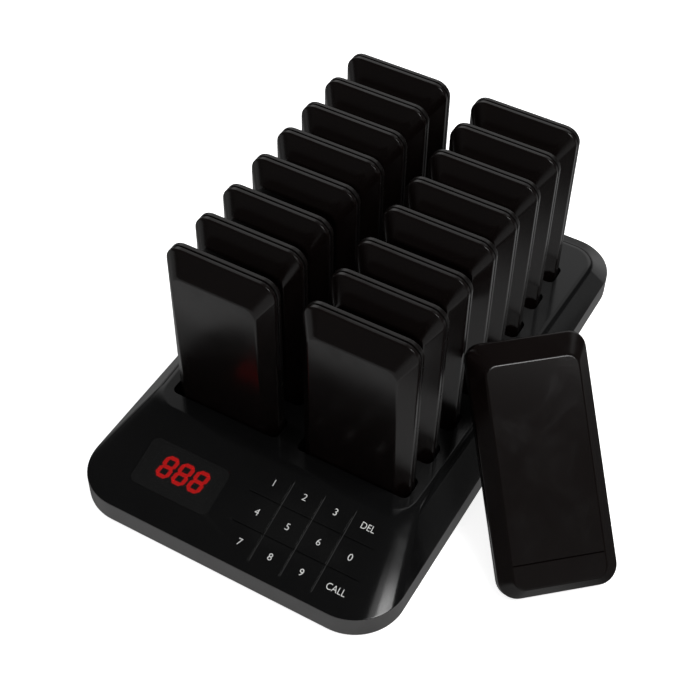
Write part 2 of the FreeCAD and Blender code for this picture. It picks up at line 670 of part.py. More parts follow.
def make_feet():
    """Four round rubber feet, let into the underside."""
    height = "(Sizes.foot_proud + Sizes.foot_recess)"
    feet = [cylinder(x, y, "0", "Sizes.foot_diameter / 2", height) for x, y in foot_places()]
    return node(group(*feet), "rubber_feet")


def make_housing_screws():
    """Six screws that hold the bottom shell to the cover, driven from below."""
    head = ("Sizes.screw_head", "Sizes.screw_head_height")
    pattern = screw("Sizes.screw_diameter", "Sizes.screw_length", *head)
    foot = f"({WELL_TOP} - Sizes.well_roof - Sizes.screw_head_height - Sizes.seat_gap)"
    return node(group(*[copy_at(pattern, x, y, foot) for x, y in boss_places()]), "housing_screws")


# Slot racks and charging board


def make_rack(side, name):
    """One column's rack: eight pockets in which the pagers stand, hollow between them."""
    body = new_body("Rack")
    outline = new_sketch(body, "XY_Plane", column_place(side), lift=BOARD_TOP)
    draw_rounded(outline, RACK_LOW, RACK_HIGH, RACK_WIDTH, RACK_WIDTH, "Sizes.rack_corner")
    pad(body, outline, f"({DECK_UNDERSIDE} - {BOARD_TOP} - Sizes.seat_gap)")
    cut_slots(body, side, DECK_UNDERSIDE, f"({DECK_UNDERSIDE} - {RACK_SEAT})")

    behind = f"({SLOT_REAR} + Sizes.rack_wall)"
    before = f"({ROW_PITCH} + {SLOT_FRONT} - Sizes.rack_wall)"
    depth = f"({DECK_UNDERSIDE} - Sizes.rack_wall)"
    step = ROWS_BEFORE_STEP - 1
    hollows = [(first, count - 1, before) for first, count in row_blocks()]
    hollows.append((step, 1, f"({before} + Sizes.row_step)"))
    for first, count, end in hollows:
        sketch = new_sketch(body, "XY_Plane", column_place(side), row_place(first), BOARD_TOP)
        draw_rounded(sketch, behind, end, SLOT_WIDTH, SLOT_WIDTH, f"(({end} - {behind}) / 4)")
        hollow = pocket(body, sketch, f"({depth} - {BOARD_TOP})", forwards=True)
        if count > 1:
            repeat(body, hollow, sketch, count, ROW_PITCH)

    for first, count in row_blocks():
        sketch = new_sketch(body, "XY_Plane", column_place(side), row_place(first), BOARD_TOP)
        hole = "(Sizes.pin_diameter + 2 * Sizes.pin_gap)"
        draw_circles(sketch, [(f"({end} * Sizes.pin_side)", "Sizes.pin_back", hole) for end in (-1, 1)])
        holes = pocket(body, sketch, "(Sizes.rack_floor + Sizes.seat_gap)", forwards=True)
        repeat(body, holes, sketch, count, ROW_PITCH)
    return node(body, name)


def make_contact_pins(side, name):
    """One column's charging pins, two under each pager."""
    pins = []
    for row in range(ROWS):
        for end in (-1, 1):
            x = f"({column_place(side)} + {end} * Sizes.pin_side)"
            y = f"({row_place(row)} + Sizes.pin_back)"
            pins.append(cylinder(x, y, BOARD_TOP, "Sizes.pin_diameter / 2", "Sizes.rack_floor"))
    return node(group(*pins), name)


def make_charging_board():
    """The board under both racks, with a tab for the ribbon cable and one for the power inlet."""
    edge = f"({COLUMN_SIDE} + {RACK_WIDTH} / 2 + Sizes.board_margin)"
    length = f"({BOARD_HIGH} - {BOARD_LOW})"
    main = box(f"-{edge}", BOARD_LOW, FLOOR, f"2 * {edge}", length, "Sizes.board_thickness")
    tab_low = f"({FRONT} + Sizes.ribbon_tab)"
    ribbon_tab = box(
        "(Sizes.ribbon_side - Sizes.ribbon_width / 2)",
        tab_low,
        FLOOR,
        "Sizes.ribbon_width",
        f"({BOARD_LOW} - {tab_low} + Sizes.board_margin)",
        "Sizes.board_thickness",
    )
    inlet_tab = box(
        "(Sizes.inlet_side - Sizes.inlet_width / 2)",
        f"({BOARD_HIGH} - Sizes.board_margin)",
        FLOOR,
        "Sizes.inlet_width",
        f"({REAR} - Sizes.shell_wall - Sizes.inlet_gap - {BOARD_HIGH} + Sizes.board_margin)",
        "Sizes.board_thickness",
    )
    return node(fuse(main, ribbon_tab, inlet_tab), "charging_board")


def make_power_inlet():
    """The barrel inlet: body on the board, nose through the rear wall, bore and centre contact."""
    body_rear = f"({REAR} - Sizes.shell_wall - Sizes.inlet_gap)"
    body = box(
        "(Sizes.inlet_side - Sizes.inlet_width / 2)",
        f"({body_rear} - Sizes.inlet_length)",
        BOARD_TOP,
        "Sizes.inlet_width",
        "Sizes.inlet_length",
        "Sizes.inlet_height",
    )
    axis = f"({BOARD_TOP} + Sizes.inlet_axis)"
    rounds = []
    for radius, length in (
        ("Sizes.inlet_nose / 2", f"({REAR} - {body_rear} + 1)"),
        ("Sizes.inlet_bore / 2", "Sizes.inlet_bore_depth"),
        ("Sizes.inlet_pin / 2", "Sizes.inlet_bore_depth"),
    ):
        solid = cylinder("Sizes.inlet_side", REAR, axis, radius, length)
        solid.Placement.Rotation = FreeCAD.Rotation(FreeCAD.Vector(1, 0, 0), 90)
        rounds.append(solid)
    nose, bore, pin = rounds
    return node(fuse(cut(fuse(body, nose), bore), pin), "power_inlet")


def make_ribbon_cable():
    """The flat cable from the charging board's tab up to the control board's underside."""
    left = "(Sizes.ribbon_side - Sizes.ribbon_width / 2)"
    front = f"({FRONT} + Sizes.ribbon_front)"
    thick = "Sizes.ribbon_thickness"
    lying = box(left, front, BOARD_TOP, "Sizes.ribbon_width", f"({BOARD_LOW} - {front})", thick)
    top = (
        f"({RIM} + Sizes.ribbon_front * tan({SLOPE})"
        f" - {CONTROL_UNDERSIDE} / cos({SLOPE}) - Sizes.seat_gap)"
    )
    upright = box(left, front, BOARD_TOP, "Sizes.ribbon_width", thick, f"({top} - {BOARD_TOP})")
    return node(fuse(lying, upright), "ribbon_cable")


# Control panel, made in the slope's frame


def make_display_window():
    """The smoked window, flush with the slope."""
    body = new_body("DisplayWindow")
    sketch = new_sketch(body, "XY_Plane", WINDOW_MIDDLE)
    gap = "Sizes.window_gap"
    width = f"(Sizes.window_left - Sizes.window_right - 2 * {gap})"
    low, high = f"(Sizes.window_low + {gap})", f"(Sizes.window_high - {gap})"
    draw_rounded(sketch, low, high, width, width, f"(Sizes.window_corner - {gap})")
    pad(body, sketch, "Sizes.window_thickness", backwards=True)
    return node(place_on_slope(body), "display_window")


def make_display_segments():
    """The lit bars of three seven-segment digits, on top of the display block."""
    wide, thick, gap = "Sizes.bar_width", "Sizes.bar_thickness", "Sizes.bar_gap"
    foot = f"(-{MODULE_TOP})"
    half = f"((Sizes.digit_height - {wide}) / 2)"
    lean = f"(Sizes.digit_slant * {half} / 2)"
    end = f"({wide} + {gap} + {lean})"
    bars = []
    for digit in range(3):
        left = f"(-Sizes.digit_left + {digit} * Sizes.digit_pitch)"
        for level in range(3):
            x = f"({left} + {end} + {2 * level} * {lean})"
            y = f"(Sizes.digit_low + {level} * {half})"
            bars.append(box(x, y, foot, f"(Sizes.digit_width - 2 * {end})", wide, thick))
        for column in range(2):
            for level in range(2):
                x = f"({left} + {column} * (Sizes.digit_width - {wide}) + {2 * level + 1} * {lean})"
                y = f"(Sizes.digit_low + {wide} / 2 + {level} * {half} + {gap} / 2)"
                bars.append(box(x, y, foot, wide, f"({half} - {gap})", thick))
    return node(place_on_slope(group(*bars)), "display_segments")


def make_display_module():
    """The display block, from the control board up into the cover's opening."""
    block = box(
        MODULE_LEFT,
        MODULE_LOW,
        f"(-{CONTROL_TOP})",
        MODULE_WIDTH,
        MODULE_HEIGHT,
        f"({CONTROL_TOP} - {MODULE_TOP})",
    )
    return node(place_on_slope(group(block)), "display_module")


def make_control_board():
    """The board parallel to the slope, screwed to the cover's posts."""
    board = box(
        f"(-{CONTROL_WIDTH} / 2)",
        "Sizes.control_low",
        f"(-{CONTROL_UNDERSIDE})",
        CONTROL_WIDTH,
        "(Sizes.control_high - Sizes.control_low)",
        "Sizes.control_thickness",
    )
    radius = "(Sizes.small_screw / 2 + Sizes.screw_gap)"
    holes = [
        cylinder(x, y, f"(-{CONTROL_UNDERSIDE} - 1)", radius, "(Sizes.control_thickness + 2)")
        for x, y in post_places()
    ]
    return node(place_on_slope(group(cut(board, fuse(*holes)))), "control_board")


def make_board_screws():
    """Four small screws that hold the control board to the cover's posts."""
    pattern = screw(
        "Sizes.small_screw",
        "(Sizes.small_screw_length + Sizes.control_thickness)",
        "Sizes.small_screw_head",
        "Sizes.small_screw_head_height",
    )
    foot = f"(-{CONTROL_UNDERSIDE} - Sizes.small_screw_head_height - Sizes.seat_gap)"
    screws = [copy_at(pattern, x, y, foot) for x, y in post_places()]
    return node(place_on_slope(group(*screws)), "board_screws")


def make_touch_springs():
    """Twelve touch springs, one under each key, between the board and the cover."""
    springs = []
    foot, height = f"(-{CONTROL_TOP})", "(Sizes.spring_height - Sizes.seat_gap)"
    inner_radius = "(Sizes.spring_diameter / 2 - Sizes.spring_wall)"
    for column in range(4):
        for row in range(3):
            x = f"(Sizes.key_left + {column} * Sizes.key_pitch)"
            y = f"(Sizes.key_low + {row} * Sizes.key_rise)"
            outer = cylinder(x, y, foot, "Sizes.spring_diameter / 2", height)
            springs.append(cut(outer, cylinder(x, y, foot, inner_radius, height)))
    return node(place_on_slope(group(*springs)), "touch_springs")


def under_board(solid, name):
    """Names a component that hangs under the control board."""
    return node(place_on_slope(group(solid)), name)


def make_board_components():
    """The radio module, controller chip, buzzer and antenna wire under the control board."""
    row = "((Sizes.control_low + Sizes.control_high) / 2 + Sizes.radio_length / 2)"
    radio_left = f"(-{CONTROL_WIDTH} / 4)"
    radio = box(
        radio_left,
        f"({row} - Sizes.radio_length / 2)",
        f"(-{CONTROL_UNDERSIDE} - Sizes.radio_height)",
        "Sizes.radio_width",
        "Sizes.radio_length",
        "Sizes.radio_height",
    )
    under_board(radio, "radio_module")
    chip = box(
        "0",
        f"({row} - Sizes.chip_side / 2)",
        f"(-{CONTROL_UNDERSIDE} - Sizes.chip_height)",
        "Sizes.chip_side",
        "Sizes.chip_side",
        "Sizes.chip_height",
    )
    under_board(chip, "controller_chip")
    buzzer = cylinder(
        f"({CONTROL_WIDTH} / 3)",
        row,
        f"(-{CONTROL_UNDERSIDE} - Sizes.buzzer_height)",
        "Sizes.buzzer_diameter / 2",
        "Sizes.buzzer_height",
    )
    under_board(buzzer, "buzzer")
    antenna = cylinder(
        radio_left,
        f"({row} - (Sizes.radio_length + Sizes.antenna_diameter) / 2 - Sizes.seat_gap)",
        f"(-{CONTROL_UNDERSIDE} - Sizes.antenna_diameter / 2)",
        "Sizes.antenna_diameter / 2",
        "Sizes.antenna_length",
    )
    antenna.Placement.Rotation = FreeCAD.Rotation(FreeCAD.Vector(0, 1, 0), 90)
    under_board(antenna, "antenna_wire")


# Pagers, made with the parting plane at y = 0, the bottom at z = 0 and the front towards -y


def draw_pager_outline(sketch, inset="0"):
    """Draws a pager's outline, or a line inside it at an even distance."""
    width = f"(Sizes.pager_width - 2 * {inset})"
    corners = (f"(Sizes.pager_foot_corner - {inset})", f"(Sizes.pager_top_corner - {inset})")
    return draw_rounded(sketch, inset, f"(Sizes.pager_height - {inset})", width, width, *corners)


def draw_face_outline(sketch, inset="0"):
    """Draws the front face's outline from its foot upwards, or a line inside it."""
    width = f"(Sizes.pager_width - 2 * Sizes.face_side - 2 * {inset})"
    high = f"(Sizes.pager_height - Sizes.face_top - Sizes.face_foot - {inset})"
    return draw_rounded(sketch, inset, high, width, width, f"(Sizes.face_corner - {inset} / 2)")


def face_sketch(body, depth="0"):
    """A sketch on a pager's leaning front face, or a depth behind it, with its foot at y = 0."""
    lift = f"(Sizes.pager_front_foot - {depth})"
    return new_sketch(body, "XZ_Plane", y="Sizes.face_foot", lift=lift, tilt=FACE_TILT)


def make_front_shell():
    """The pattern of every front shell: flat edge band, bevels up to a leaning face, hollow behind."""
    body = new_body("FrontShell")
    seam, band = "Sizes.pager_seam", "Sizes.pager_band"
    edge = draw_pager_outline(new_sketch(body, "XZ_Plane", lift=seam))
    pad(body, edge, f"({band} - {seam})")
    rim = draw_pager_outline(new_sketch(body, "XZ_Plane", lift=band))
    loft(body, "Additive", rim, draw_face_outline(face_sketch(body)))

    wall = "Sizes.pager_wall"
    step = f"(Sizes.tongue_depth + {seam})"
    mouth = draw_pager_outline(new_sketch(body, "XZ_Plane", lift=step), wall)
    pocket(body, mouth, step)
    inner = draw_pager_outline(new_sketch(body, "XZ_Plane", lift=step), wall)
    loft(body, "Subtractive", inner, draw_face_outline(face_sketch(body, wall), f"({wall} / 2)"))

    line = face_sketch(body)
    low = "(Sizes.line_height - Sizes.face_foot)"
    length = "(Sizes.pager_width - 2 * Sizes.face_side - 2 * Sizes.line_margin)"
    draw_rounded(line, low, f"({low} + Sizes.line_width)", length, length, "(Sizes.line_width * 0.4)")
    pocket(body, line, "Sizes.line_depth")
    return body


def make_back_shell():
    """The pattern of every back shell: flat edge band, back, tongue into the front shell, contact slots."""
    body = new_body("BackShell")
    seam, band = "Sizes.pager_seam", "Sizes.pager_band"
    edge = draw_pager_outline(new_sketch(body, "XZ_Plane", lift=f"-{seam}"))
    pad(body, edge, f"({band} - {seam})", backwards=True)
    rim = draw_pager_outline(new_sketch(body, "XZ_Plane", lift=f"-{band}"))
    back = draw_pager_outline(new_sketch(body, "XZ_Plane", lift="-Sizes.pager_back"), "Sizes.back_side")
    loft(body, "Additive", rim, back)

    outside = "(Sizes.pager_wall + Sizes.tongue_gap)"
    inside = f"({outside} + Sizes.tongue_wall)"
    tongue = draw_pager_outline(new_sketch(body, "XZ_Plane", lift="Sizes.tongue_depth"), outside)
    pad(body, tongue, f"(Sizes.tongue_depth + {band})", backwards=True)
    hollow = draw_pager_outline(new_sketch(body, "XZ_Plane", lift="Sizes.tongue_depth"), inside)
    pocket(body, hollow, "(Sizes.tongue_depth + Sizes.pager_back - Sizes.pager_wall)")

    for end in (-1, 1):
        sketch = new_sketch(body, "XY_Plane", f"({end} * Sizes.pin_side)", "Sizes.pin_back")
        half = "(Sizes.contact_width / 2 + Sizes.contact_gap)"
        length = "(Sizes.contact_length + 2 * Sizes.contact_gap)"
        draw_rounded(sketch, f"-{half}", half, length, length, "Sizes.contact_gap")
        pocket(body, sketch, f"({inside} + Sizes.contact_gap)", forwards=True)
    return body


def make_docked_pagers(front_shell, back_shell):
    """Sixteen pagers in their slots: 01 to 08 up the left column, 09 to 16 up the right."""
    for column, side in enumerate((LEFT, RIGHT)):
        for row in range(ROWS):
            name = f"pager_{column * ROWS + row + 1:02d}"
            for shell, piece in ((front_shell, "front_shell"), (back_shell, "back_shell")):
                docked = copy_at(shell, column_place(side), row_place(row), PAGER_FOOT)
                node(docked, f"{name}_{piece}")


def loose_placement():
    """Where the loose pager stands: its bottom edge on the table, a top corner against a docked pager.

    The foot runs along the first direction, the pager rises along the second and its back faces the
    third. The corner's outermost point lies on its arc, at the back of the flat band.
    """
    turn, lean = math.radians(number("Sizes.loose_turn")), math.radians(number("Sizes.loose_lean"))
    along = FreeCAD.Vector(math.cos(turn), math.sin(turn), 0)
    level = FreeCAD.Vector(-math.sin(turn), math.cos(turn), 0)
    rise = level * math.sin(lean) + FreeCAD.Vector(0, 0, math.cos(lean))
    back = rise.cross(along)
    half = number("Sizes.pager_width / 2")
    corner, height = number("Sizes.pager_top_corner"), number("Sizes.pager_height")
    band = number("Sizes.pager_band")
    outward = math.hypot(along.x, rise.x)
    touching = (
        along * (corner - half - corner * along.x / outward)
        + rise * (height - corner - corner * rise.x / outward)
        + back * band
    )
    reach_x = number(f"{COLUMN_SIDE} + Sizes.pager_width / 2 + Sizes.loose_gap")
    reach_y = number(row_place(LEANS_ON_ROW))
    origin = FreeCAD.Vector(reach_x - touching.x, reach_y - touching.y, band * math.sin(lean))
    rotation = FreeCAD.Rotation(along, back, rise, "XYZ")
    return FreeCAD.Placement(origin, rotation)


def make_loose_pager(front_shell, back_shell):
    """The loose pager: both shells, and the pieces inside, made in the pager's own frame."""
    rear_wall = "(Sizes.pager_back - Sizes.pager_wall - Sizes.seat_gap)"
    circuit_front = f"({rear_wall} - Sizes.circuit_thickness)"
    circuit = box(
        "(-Sizes.circuit_width / 2)",
        circuit_front,
        CIRCUIT_FOOT,
        "Sizes.circuit_width",
        "Sizes.circuit_thickness",
        CIRCUIT_HEIGHT,
    )
    battery = box(
        "(-Sizes.cell_width / 2)",
        f"({rear_wall} - Sizes.cell_thickness)",
        "Sizes.cell_foot",
        "Sizes.cell_width",
        "Sizes.cell_thickness",
        "Sizes.cell_height",
    )
    radius = "Sizes.motor_diameter / 2"
    motor_y = f"({rear_wall} - {radius})"
    motor_z = f"({MOTOR_FOOT} + {radius})"
    motor = cylinder("(-Sizes.motor_length / 2)", motor_y, motor_z, radius, "Sizes.motor_length")
    motor.Placement.Rotation = FreeCAD.Rotation(FreeCAD.Vector(0, 1, 0), 90)
    contacts = [
        box(
            f"({end} * Sizes.pin_side - Sizes.contact_length / 2)",
            "(Sizes.pin_back - Sizes.contact_width / 2)",
            "Sizes.contact_gap",
            "Sizes.contact_length",
            "Sizes.contact_width",
            "Sizes.contact_height",
        )
        for end in (-1, 1)
    ]
    led_reach = "(Sizes.circuit_width / 2 - Sizes.led_margin)"
    led_low = f"({CIRCUIT_FOOT} + Sizes.led_margin)"
    led_high = f"({CIRCUIT_FOOT} + {CIRCUIT_HEIGHT} - Sizes.led_margin)"
    leds = [
        box(
            f"({side} * {led_reach} - Sizes.led_side / 2)",
            f"({circuit_front} - Sizes.led_height)",
            f"({height} - Sizes.led_side / 2)",
            "Sizes.led_side",
            "Sizes.led_height",
            "Sizes.led_side",
        )
        for side in (LEFT, RIGHT)
        for height in (led_low, led_high)
    ]
    pieces = {
        "front_shell": [front_shell],
        "back_shell": [back_shell],
        "circuit_board": [circuit],
        "battery": [battery],
        "vibration_motor": [motor],
        "charge_contacts": contacts,
        "signal_leds": leds,
    }
    placement = loose_placement()
    for piece, solids in pieces.items():
        stood = group(*solids)
        stood.Placement = placement
        node(stood, f"pager_17_{piece}")


def check_and_export():
    """Stops at a failed feature or a bad shape, then writes each sub-part to its STEP file."""
    doc.recompute()
    for feature in doc.Objects:
        if "Invalid" in feature.State or "Error" in feature.State:
            raise RuntimeError(f"{feature.Name} ({feature.Label}) failed: {feature.State}")
    for feature in nodes:
        shape = feature.Shape
        if shape.isNull() or not shape.isValid() or not shape.Solids:
            raise RuntimeError(f"{feature.Label} has no valid solid")
    os.makedirs("parts", exist_ok=True)
    for feature in nodes:
        feature.Shape.exportStep(f"parts/{feature.Label}.step")
        box_size = feature.Shape.BoundBox
        print(
            f"{feature.Label}: {len(feature.Shape.Solids)} solid(s), {feature.Shape.Volume:.0f} mm3, "
            f"{box_size.XLength:.1f} x {box_size.YLength:.1f} x {box_size.ZLength:.1f}"
        )


make_top_cover()
make_bottom_shell()
make_feet()
make_housing_screws()
make_rack(LEFT, "left_rack")
make_rack(RIGHT, "right_rack")
make_charging_board()
make_contact_pins(LEFT, "left_contact_pins")
make_contact_pins(RIGHT, "right_contact_pins")
make_power_inlet()
make_ribbon_cable()
make_display_window()
make_display_segments()
make_display_module()
make_control_board()
make_board_screws()
make_touch_springs()
make_board_components()
front_pattern = make_front_shell()
back_pattern = make_back_shell()
make_docked_pagers(front_pattern, back_pattern)
make_loose_pager(front_pattern, back_pattern)
check_and_export()
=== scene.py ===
"""Looks of a guest pager system: a desk base with a control panel, sixteen docked pagers and one loose pager.

The frame gives the pieces' places. Sizes below are millimetres unless a name says otherwise.
"""

import json
import logging
import math
from dataclasses import dataclass
from enum import Enum
from typing import Iterable, Sequence

import bmesh
import bpy
from mathutils import Matrix, Vector


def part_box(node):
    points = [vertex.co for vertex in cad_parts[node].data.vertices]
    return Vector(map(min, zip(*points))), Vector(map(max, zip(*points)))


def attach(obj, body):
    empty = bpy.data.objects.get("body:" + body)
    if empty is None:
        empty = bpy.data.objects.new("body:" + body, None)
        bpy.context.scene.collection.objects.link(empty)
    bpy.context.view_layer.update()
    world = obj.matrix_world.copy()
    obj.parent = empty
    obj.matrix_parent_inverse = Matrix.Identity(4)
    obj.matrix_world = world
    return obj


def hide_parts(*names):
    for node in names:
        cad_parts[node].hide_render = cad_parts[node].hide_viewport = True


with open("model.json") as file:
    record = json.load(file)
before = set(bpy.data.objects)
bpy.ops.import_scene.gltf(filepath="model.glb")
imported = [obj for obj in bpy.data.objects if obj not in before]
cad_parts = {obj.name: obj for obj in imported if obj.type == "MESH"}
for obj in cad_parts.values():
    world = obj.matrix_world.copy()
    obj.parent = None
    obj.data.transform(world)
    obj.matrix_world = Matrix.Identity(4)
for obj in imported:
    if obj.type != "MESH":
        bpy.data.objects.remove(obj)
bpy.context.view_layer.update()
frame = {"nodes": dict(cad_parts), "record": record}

MM = 0.001
MERGE_DISTANCE = 1e-7
DOCKED_PAGERS = 16

Loop = list[Vector]
Pair = tuple[float, float]
Profile = Sequence[Pair]
Point = tuple[float, float, float]
Colour = tuple[float, float, float]
Source = bpy.types.NodeSocket | float | Colour
log = logging.getLogger("guest_pager_system")


class Look(Enum):
    """The finishes by name."""

    GLOSS_COVER = "gloss_cover"
    SATIN_SHELL = "satin_shell"
    SMOKED_WINDOW = "smoked_window"
    DISPLAY_BLACK = "display_black"
    PAGER_GLOSS = "pager_gloss"
    PAGER_BACK = "pager_back"
    RACK_MOULDING = "rack_moulding"
    BLACK_MOULDING = "black_moulding"
    FOOT_RUBBER = "foot_rubber"
    PRINTED_WHITE = "printed_white"
    GREY_RIBBON = "grey_ribbon"
    TINNED_STEEL = "tinned_steel"
    ZINC_SCREW = "zinc_screw"
    GILT_CONTACT = "gilt_contact"
    CELL_FOIL = "cell_foil"
    CLEAR_LENS = "clear_lens"
    LIT_SEGMENT = "lit_segment"
    CIRCUIT_BOARD = "circuit_board"


# ---------------------------------------------------------------------------------------------------------
# Outlines and rings
# ---------------------------------------------------------------------------------------------------------


def in_mm(box: Sequence[Vector]) -> tuple[Vector, Vector]:
    """A box's low and high corners in millimetres."""
    return box[0] / MM, box[1] / MM


def rounded_outline(corners: Sequence[Pair], radii: Sequence[float], steps: int = 8, runs: int = 1) -> Loop:
    """Walks a convex outline anticlockwise and rounds its corners with true arcs.

    Args:
        corners: the sharp corners, anticlockwise.
        radii: one arc radius for each corner.
        steps: straight chords in each arc.
        runs: equal pieces that each straight side is divided into.

    Returns:
        The outline's points at z = 0.
    """
    points = [Vector(corner) for corner in corners]
    outline: Loop = []
    arcs: list[Loop] = []
    for i, corner in enumerate(points):
        before = (points[i - 1] - corner).normalized()
        after = (points[(i + 1) % len(points)] - corner).normalized()
        half = before.angle(after) / 2
        centre = corner + (before + after).normalized() * (radii[i] / math.sin(half))
        spoke = corner + before * (radii[i] / math.tan(half)) - centre
        turn = math.pi - 2 * half
        arc = []
        for k in range(steps + 1):
            angle = turn * k / steps
            cosine, sine = math.cos(angle), math.sin(angle)
            x = spoke.x * cosine - spoke.y * sine
            y = spoke.x * sine + spoke.y * cosine
            arc.append(Vector((centre.x + x, centre.y + y, 0)))
        arcs.append(arc)
    for i, arc in enumerate(arcs):
        outline.extend(arc)
        following = arcs[(i + 1) % len(arcs)][0]
        outline.extend(arc[-1].lerp(following, k / runs) for k in range(1, runs))
    return outline


def rounded_box(x: Pair, y: Pair, radius: float, steps: int = 8) -> Loop:
    """A rounded rectangle's outline.

    Args:
        x: left and right sides.
        y: low and high sides.
        radius: corner radius.
        steps: chords in each corner.

    Returns:
        The outline's points, anticlockwise.
    """
    corners = [(x[0], y[0]), (x[1], y[0]), (x[1], y[1]), (x[0], y[1])]
    return rounded_outline(corners, [radius] * 4, steps)


def lifted(outline: Loop, height: float) -> Loop:
    """The outline at another height."""
    return [Vector((p.x, p.y, height)) for p in outline]


def prism(outline: Loop, low: float, high: float) -> list[Loop]:
    """The two rings of an upright prism."""
    return [lifted(outline, low), lifted(outline, high)]


def mixed(first: Loop, second: Loop, share: float) -> Loop:
    """The ring that lies a share of the way from one ring to another."""
    return [a.lerp(b, share) for a, b in zip(first, second)]


def placed(rings: Sequence[Loop], at: Matrix) -> list[Loop]:
    """Rings moved by a matrix."""
    return [[at @ point for point in ring] for ring in rings]


def rounded_edge(before: Loop, edge: Loop, after: Loop, steps: int = 4) -> list[Loop]:
    """Rounds the edge between two faces: rings that leave one face and run smoothly on to the next.

    Args:
        before: the ring where the rounding starts.
        edge: the ring where the two faces would meet.
        after: the ring where the rounding ends.
        steps: rings between the two ends.

    Returns:
        All the rings, with both ends.
    """
    rings = []
    for k in range(steps + 1):
        t = k / steps
        first, second, third = (1 - t) ** 2, 2 * t * (1 - t), t * t
        rings.append([a * first + b * second + c * third for a, b, c in zip(before, edge, after)])
    return rings


# ---------------------------------------------------------------------------------------------------------
# Mesh making
# ---------------------------------------------------------------------------------------------------------


def add_skin(build: bmesh.types.BMesh, rings: Sequence[Loop]) -> None:
    """Adds a closed skin over rings with equally many points.

    Args:
        build: the mesh under construction.
        rings: the rings, in order; the first and the last are closed with a face.
    """
    rows = [[build.verts.new(point * MM) for point in ring] for ring in rings]
    count = len(rows[0])
    for low, high in zip(rows, rows[1:]):
        for i in range(count):
            j = (i + 1) % count
            build.faces.new((low[i], low[j], high[j], high[i]))
    build.faces.new(list(reversed(rows[0])))
    build.faces.new(rows[-1])


def turned_row(
    build: bmesh.types.BMesh, radius: float, height: float, at: Matrix, segments: int
) -> list[bmesh.types.BMVert]:
    """Adds one ring of a turned solid, or the point where the solid ends.

    Args:
        build: the mesh under construction.
        radius: the ring's radius; 0 gives a point.
        height: its place along the axis.
        at: where the axis stands; the axis is its z.
        segments: points in the ring.

    Returns:
        The ring's vertices.
    """
    if radius == 0:
        return [build.verts.new(at @ Vector((0, 0, height)) * MM)]
    row = []
    for k in range(segments):
        angle = 2 * math.pi * k / segments
        point = Vector((radius * math.cos(angle), radius * math.sin(angle), height))
        row.append(build.verts.new(at @ point * MM))
    return row


def add_turned(
    build: bmesh.types.BMesh, profile: Profile, at: Matrix, segments: int = 48, hollow: bool = False
) -> None:
    """Adds a turned solid.

    Args:
        build: the mesh under construction.
        profile: radius and height of each ring, in order.
        at: where the solid's axis stands; the axis is its z.
        segments: facets round the axis.
        hollow: whether the profile runs round a section, so that the last ring joins the first.
    """
    rows = [turned_row(build, radius, height, at, segments) for radius, height in profile]
    following = rows[1:] + (rows[:1] if hollow else [])
    faces = []
    for low, high in zip(rows, following):
        for i in range(segments):
            j = (i + 1) % segments
            corners = [low[i % len(low)], low[j % len(low)], high[j % len(high)], high[i % len(high)]]
            faces.append(build.faces.new(list(dict.fromkeys(corners))))
    if not hollow:
        faces += [build.faces.new(row) for row in (rows[0][::-1], rows[-1]) if len(row) > 1]
    bmesh.ops.recalc_face_normals(build, faces=faces)


def add_to_scene(name: str, data: bpy.types.ID) -> bpy.types.Object:
    """Makes an object and puts it in the scene.

    Args:
        name: the object's name.
        data: its mesh, text, lamp or camera.

    Returns:
        The object.
    """
    added = bpy.data.objects.new(name, data)
    bpy.context.scene.collection.objects.link(added)
    return added


def new_object(name: str, build: bmesh.types.BMesh) -> bpy.types.Object:
    """Turns a finished mesh under construction into an object of the scene.

    Args:
        name: the object's name.
        build: the mesh under construction, which is used up.

    Returns:
        The object.
    """
    bmesh.ops.remove_doubles(build, verts=build.verts, dist=MERGE_DISTANCE)
    bmesh.ops.recalc_face_normals(build, faces=build.faces)
    mesh = bpy.data.meshes.new(name)
    build.to_mesh(mesh)
    build.free()
    return add_to_scene(name, mesh)


def lofted(name: str, shapes: Iterable[Sequence[Loop]]) -> bpy.types.Object:
    """Makes an object of closed skins.

    Args:
        name: the object's name.
        shapes: the rings of each skin.

    Returns:
        The object.
    """
    build = bmesh.new()
    for rings in shapes:
        add_skin(build, rings)
    return new_object(name, build)


def turned(name: str, profile: Profile, places: Iterable[Matrix], segments: int = 48) -> bpy.types.Object:
    """Makes an object of equal turned solids.

    Args:
        name: the object's name.
        profile: radius and height of each ring.
        places: where the solids' axes stand.
        segments: facets round each axis.

    Returns:
        The object.
    """
    build = bmesh.new()
    for at in places:
        add_turned(build, profile, at, segments)
    return new_object(name, build)


def add_collars(piece: bpy.types.Object, profile: Profile, places: Iterable[Matrix]) -> None:
    """Adds equal turned solids with a hole along their axis to an object.

    Args:
        piece: the object.
        profile: radius and height of each ring round the section.
        places: where the solids' axes stand.
    """
    build = bmesh.new()
    build.from_mesh(piece.data)
    for at in places:
        add_turned(build, profile, at, hollow=True)
    build.to_mesh(piece.data)
    build.free()


def settle(piece: bpy.types.Object) -> None:
    """Makes an object's modifiers part of its mesh.

    Args:
        piece: the object.
    """
    graph = bpy.context.evaluated_depsgraph_get()
    mesh = bpy.data.meshes.new_from_object(piece.evaluated_get(graph))
    piece.modifiers.clear()
    piece.data = mesh


def cut_away(piece: bpy.types.Object, cutter: bpy.types.Object) -> None:
    """Cuts one object out of another for good and removes the cutter.

    Args:
        piece: the object to cut.
        cutter: what is cut out of it.
    """
    cut = piece.modifiers.new("cut", "BOOLEAN")
    cut.operation = "DIFFERENCE"
    cut.solver = "EXACT"
    cut.object = cutter
    settle(piece)
    bpy.data.objects.remove(cutter)


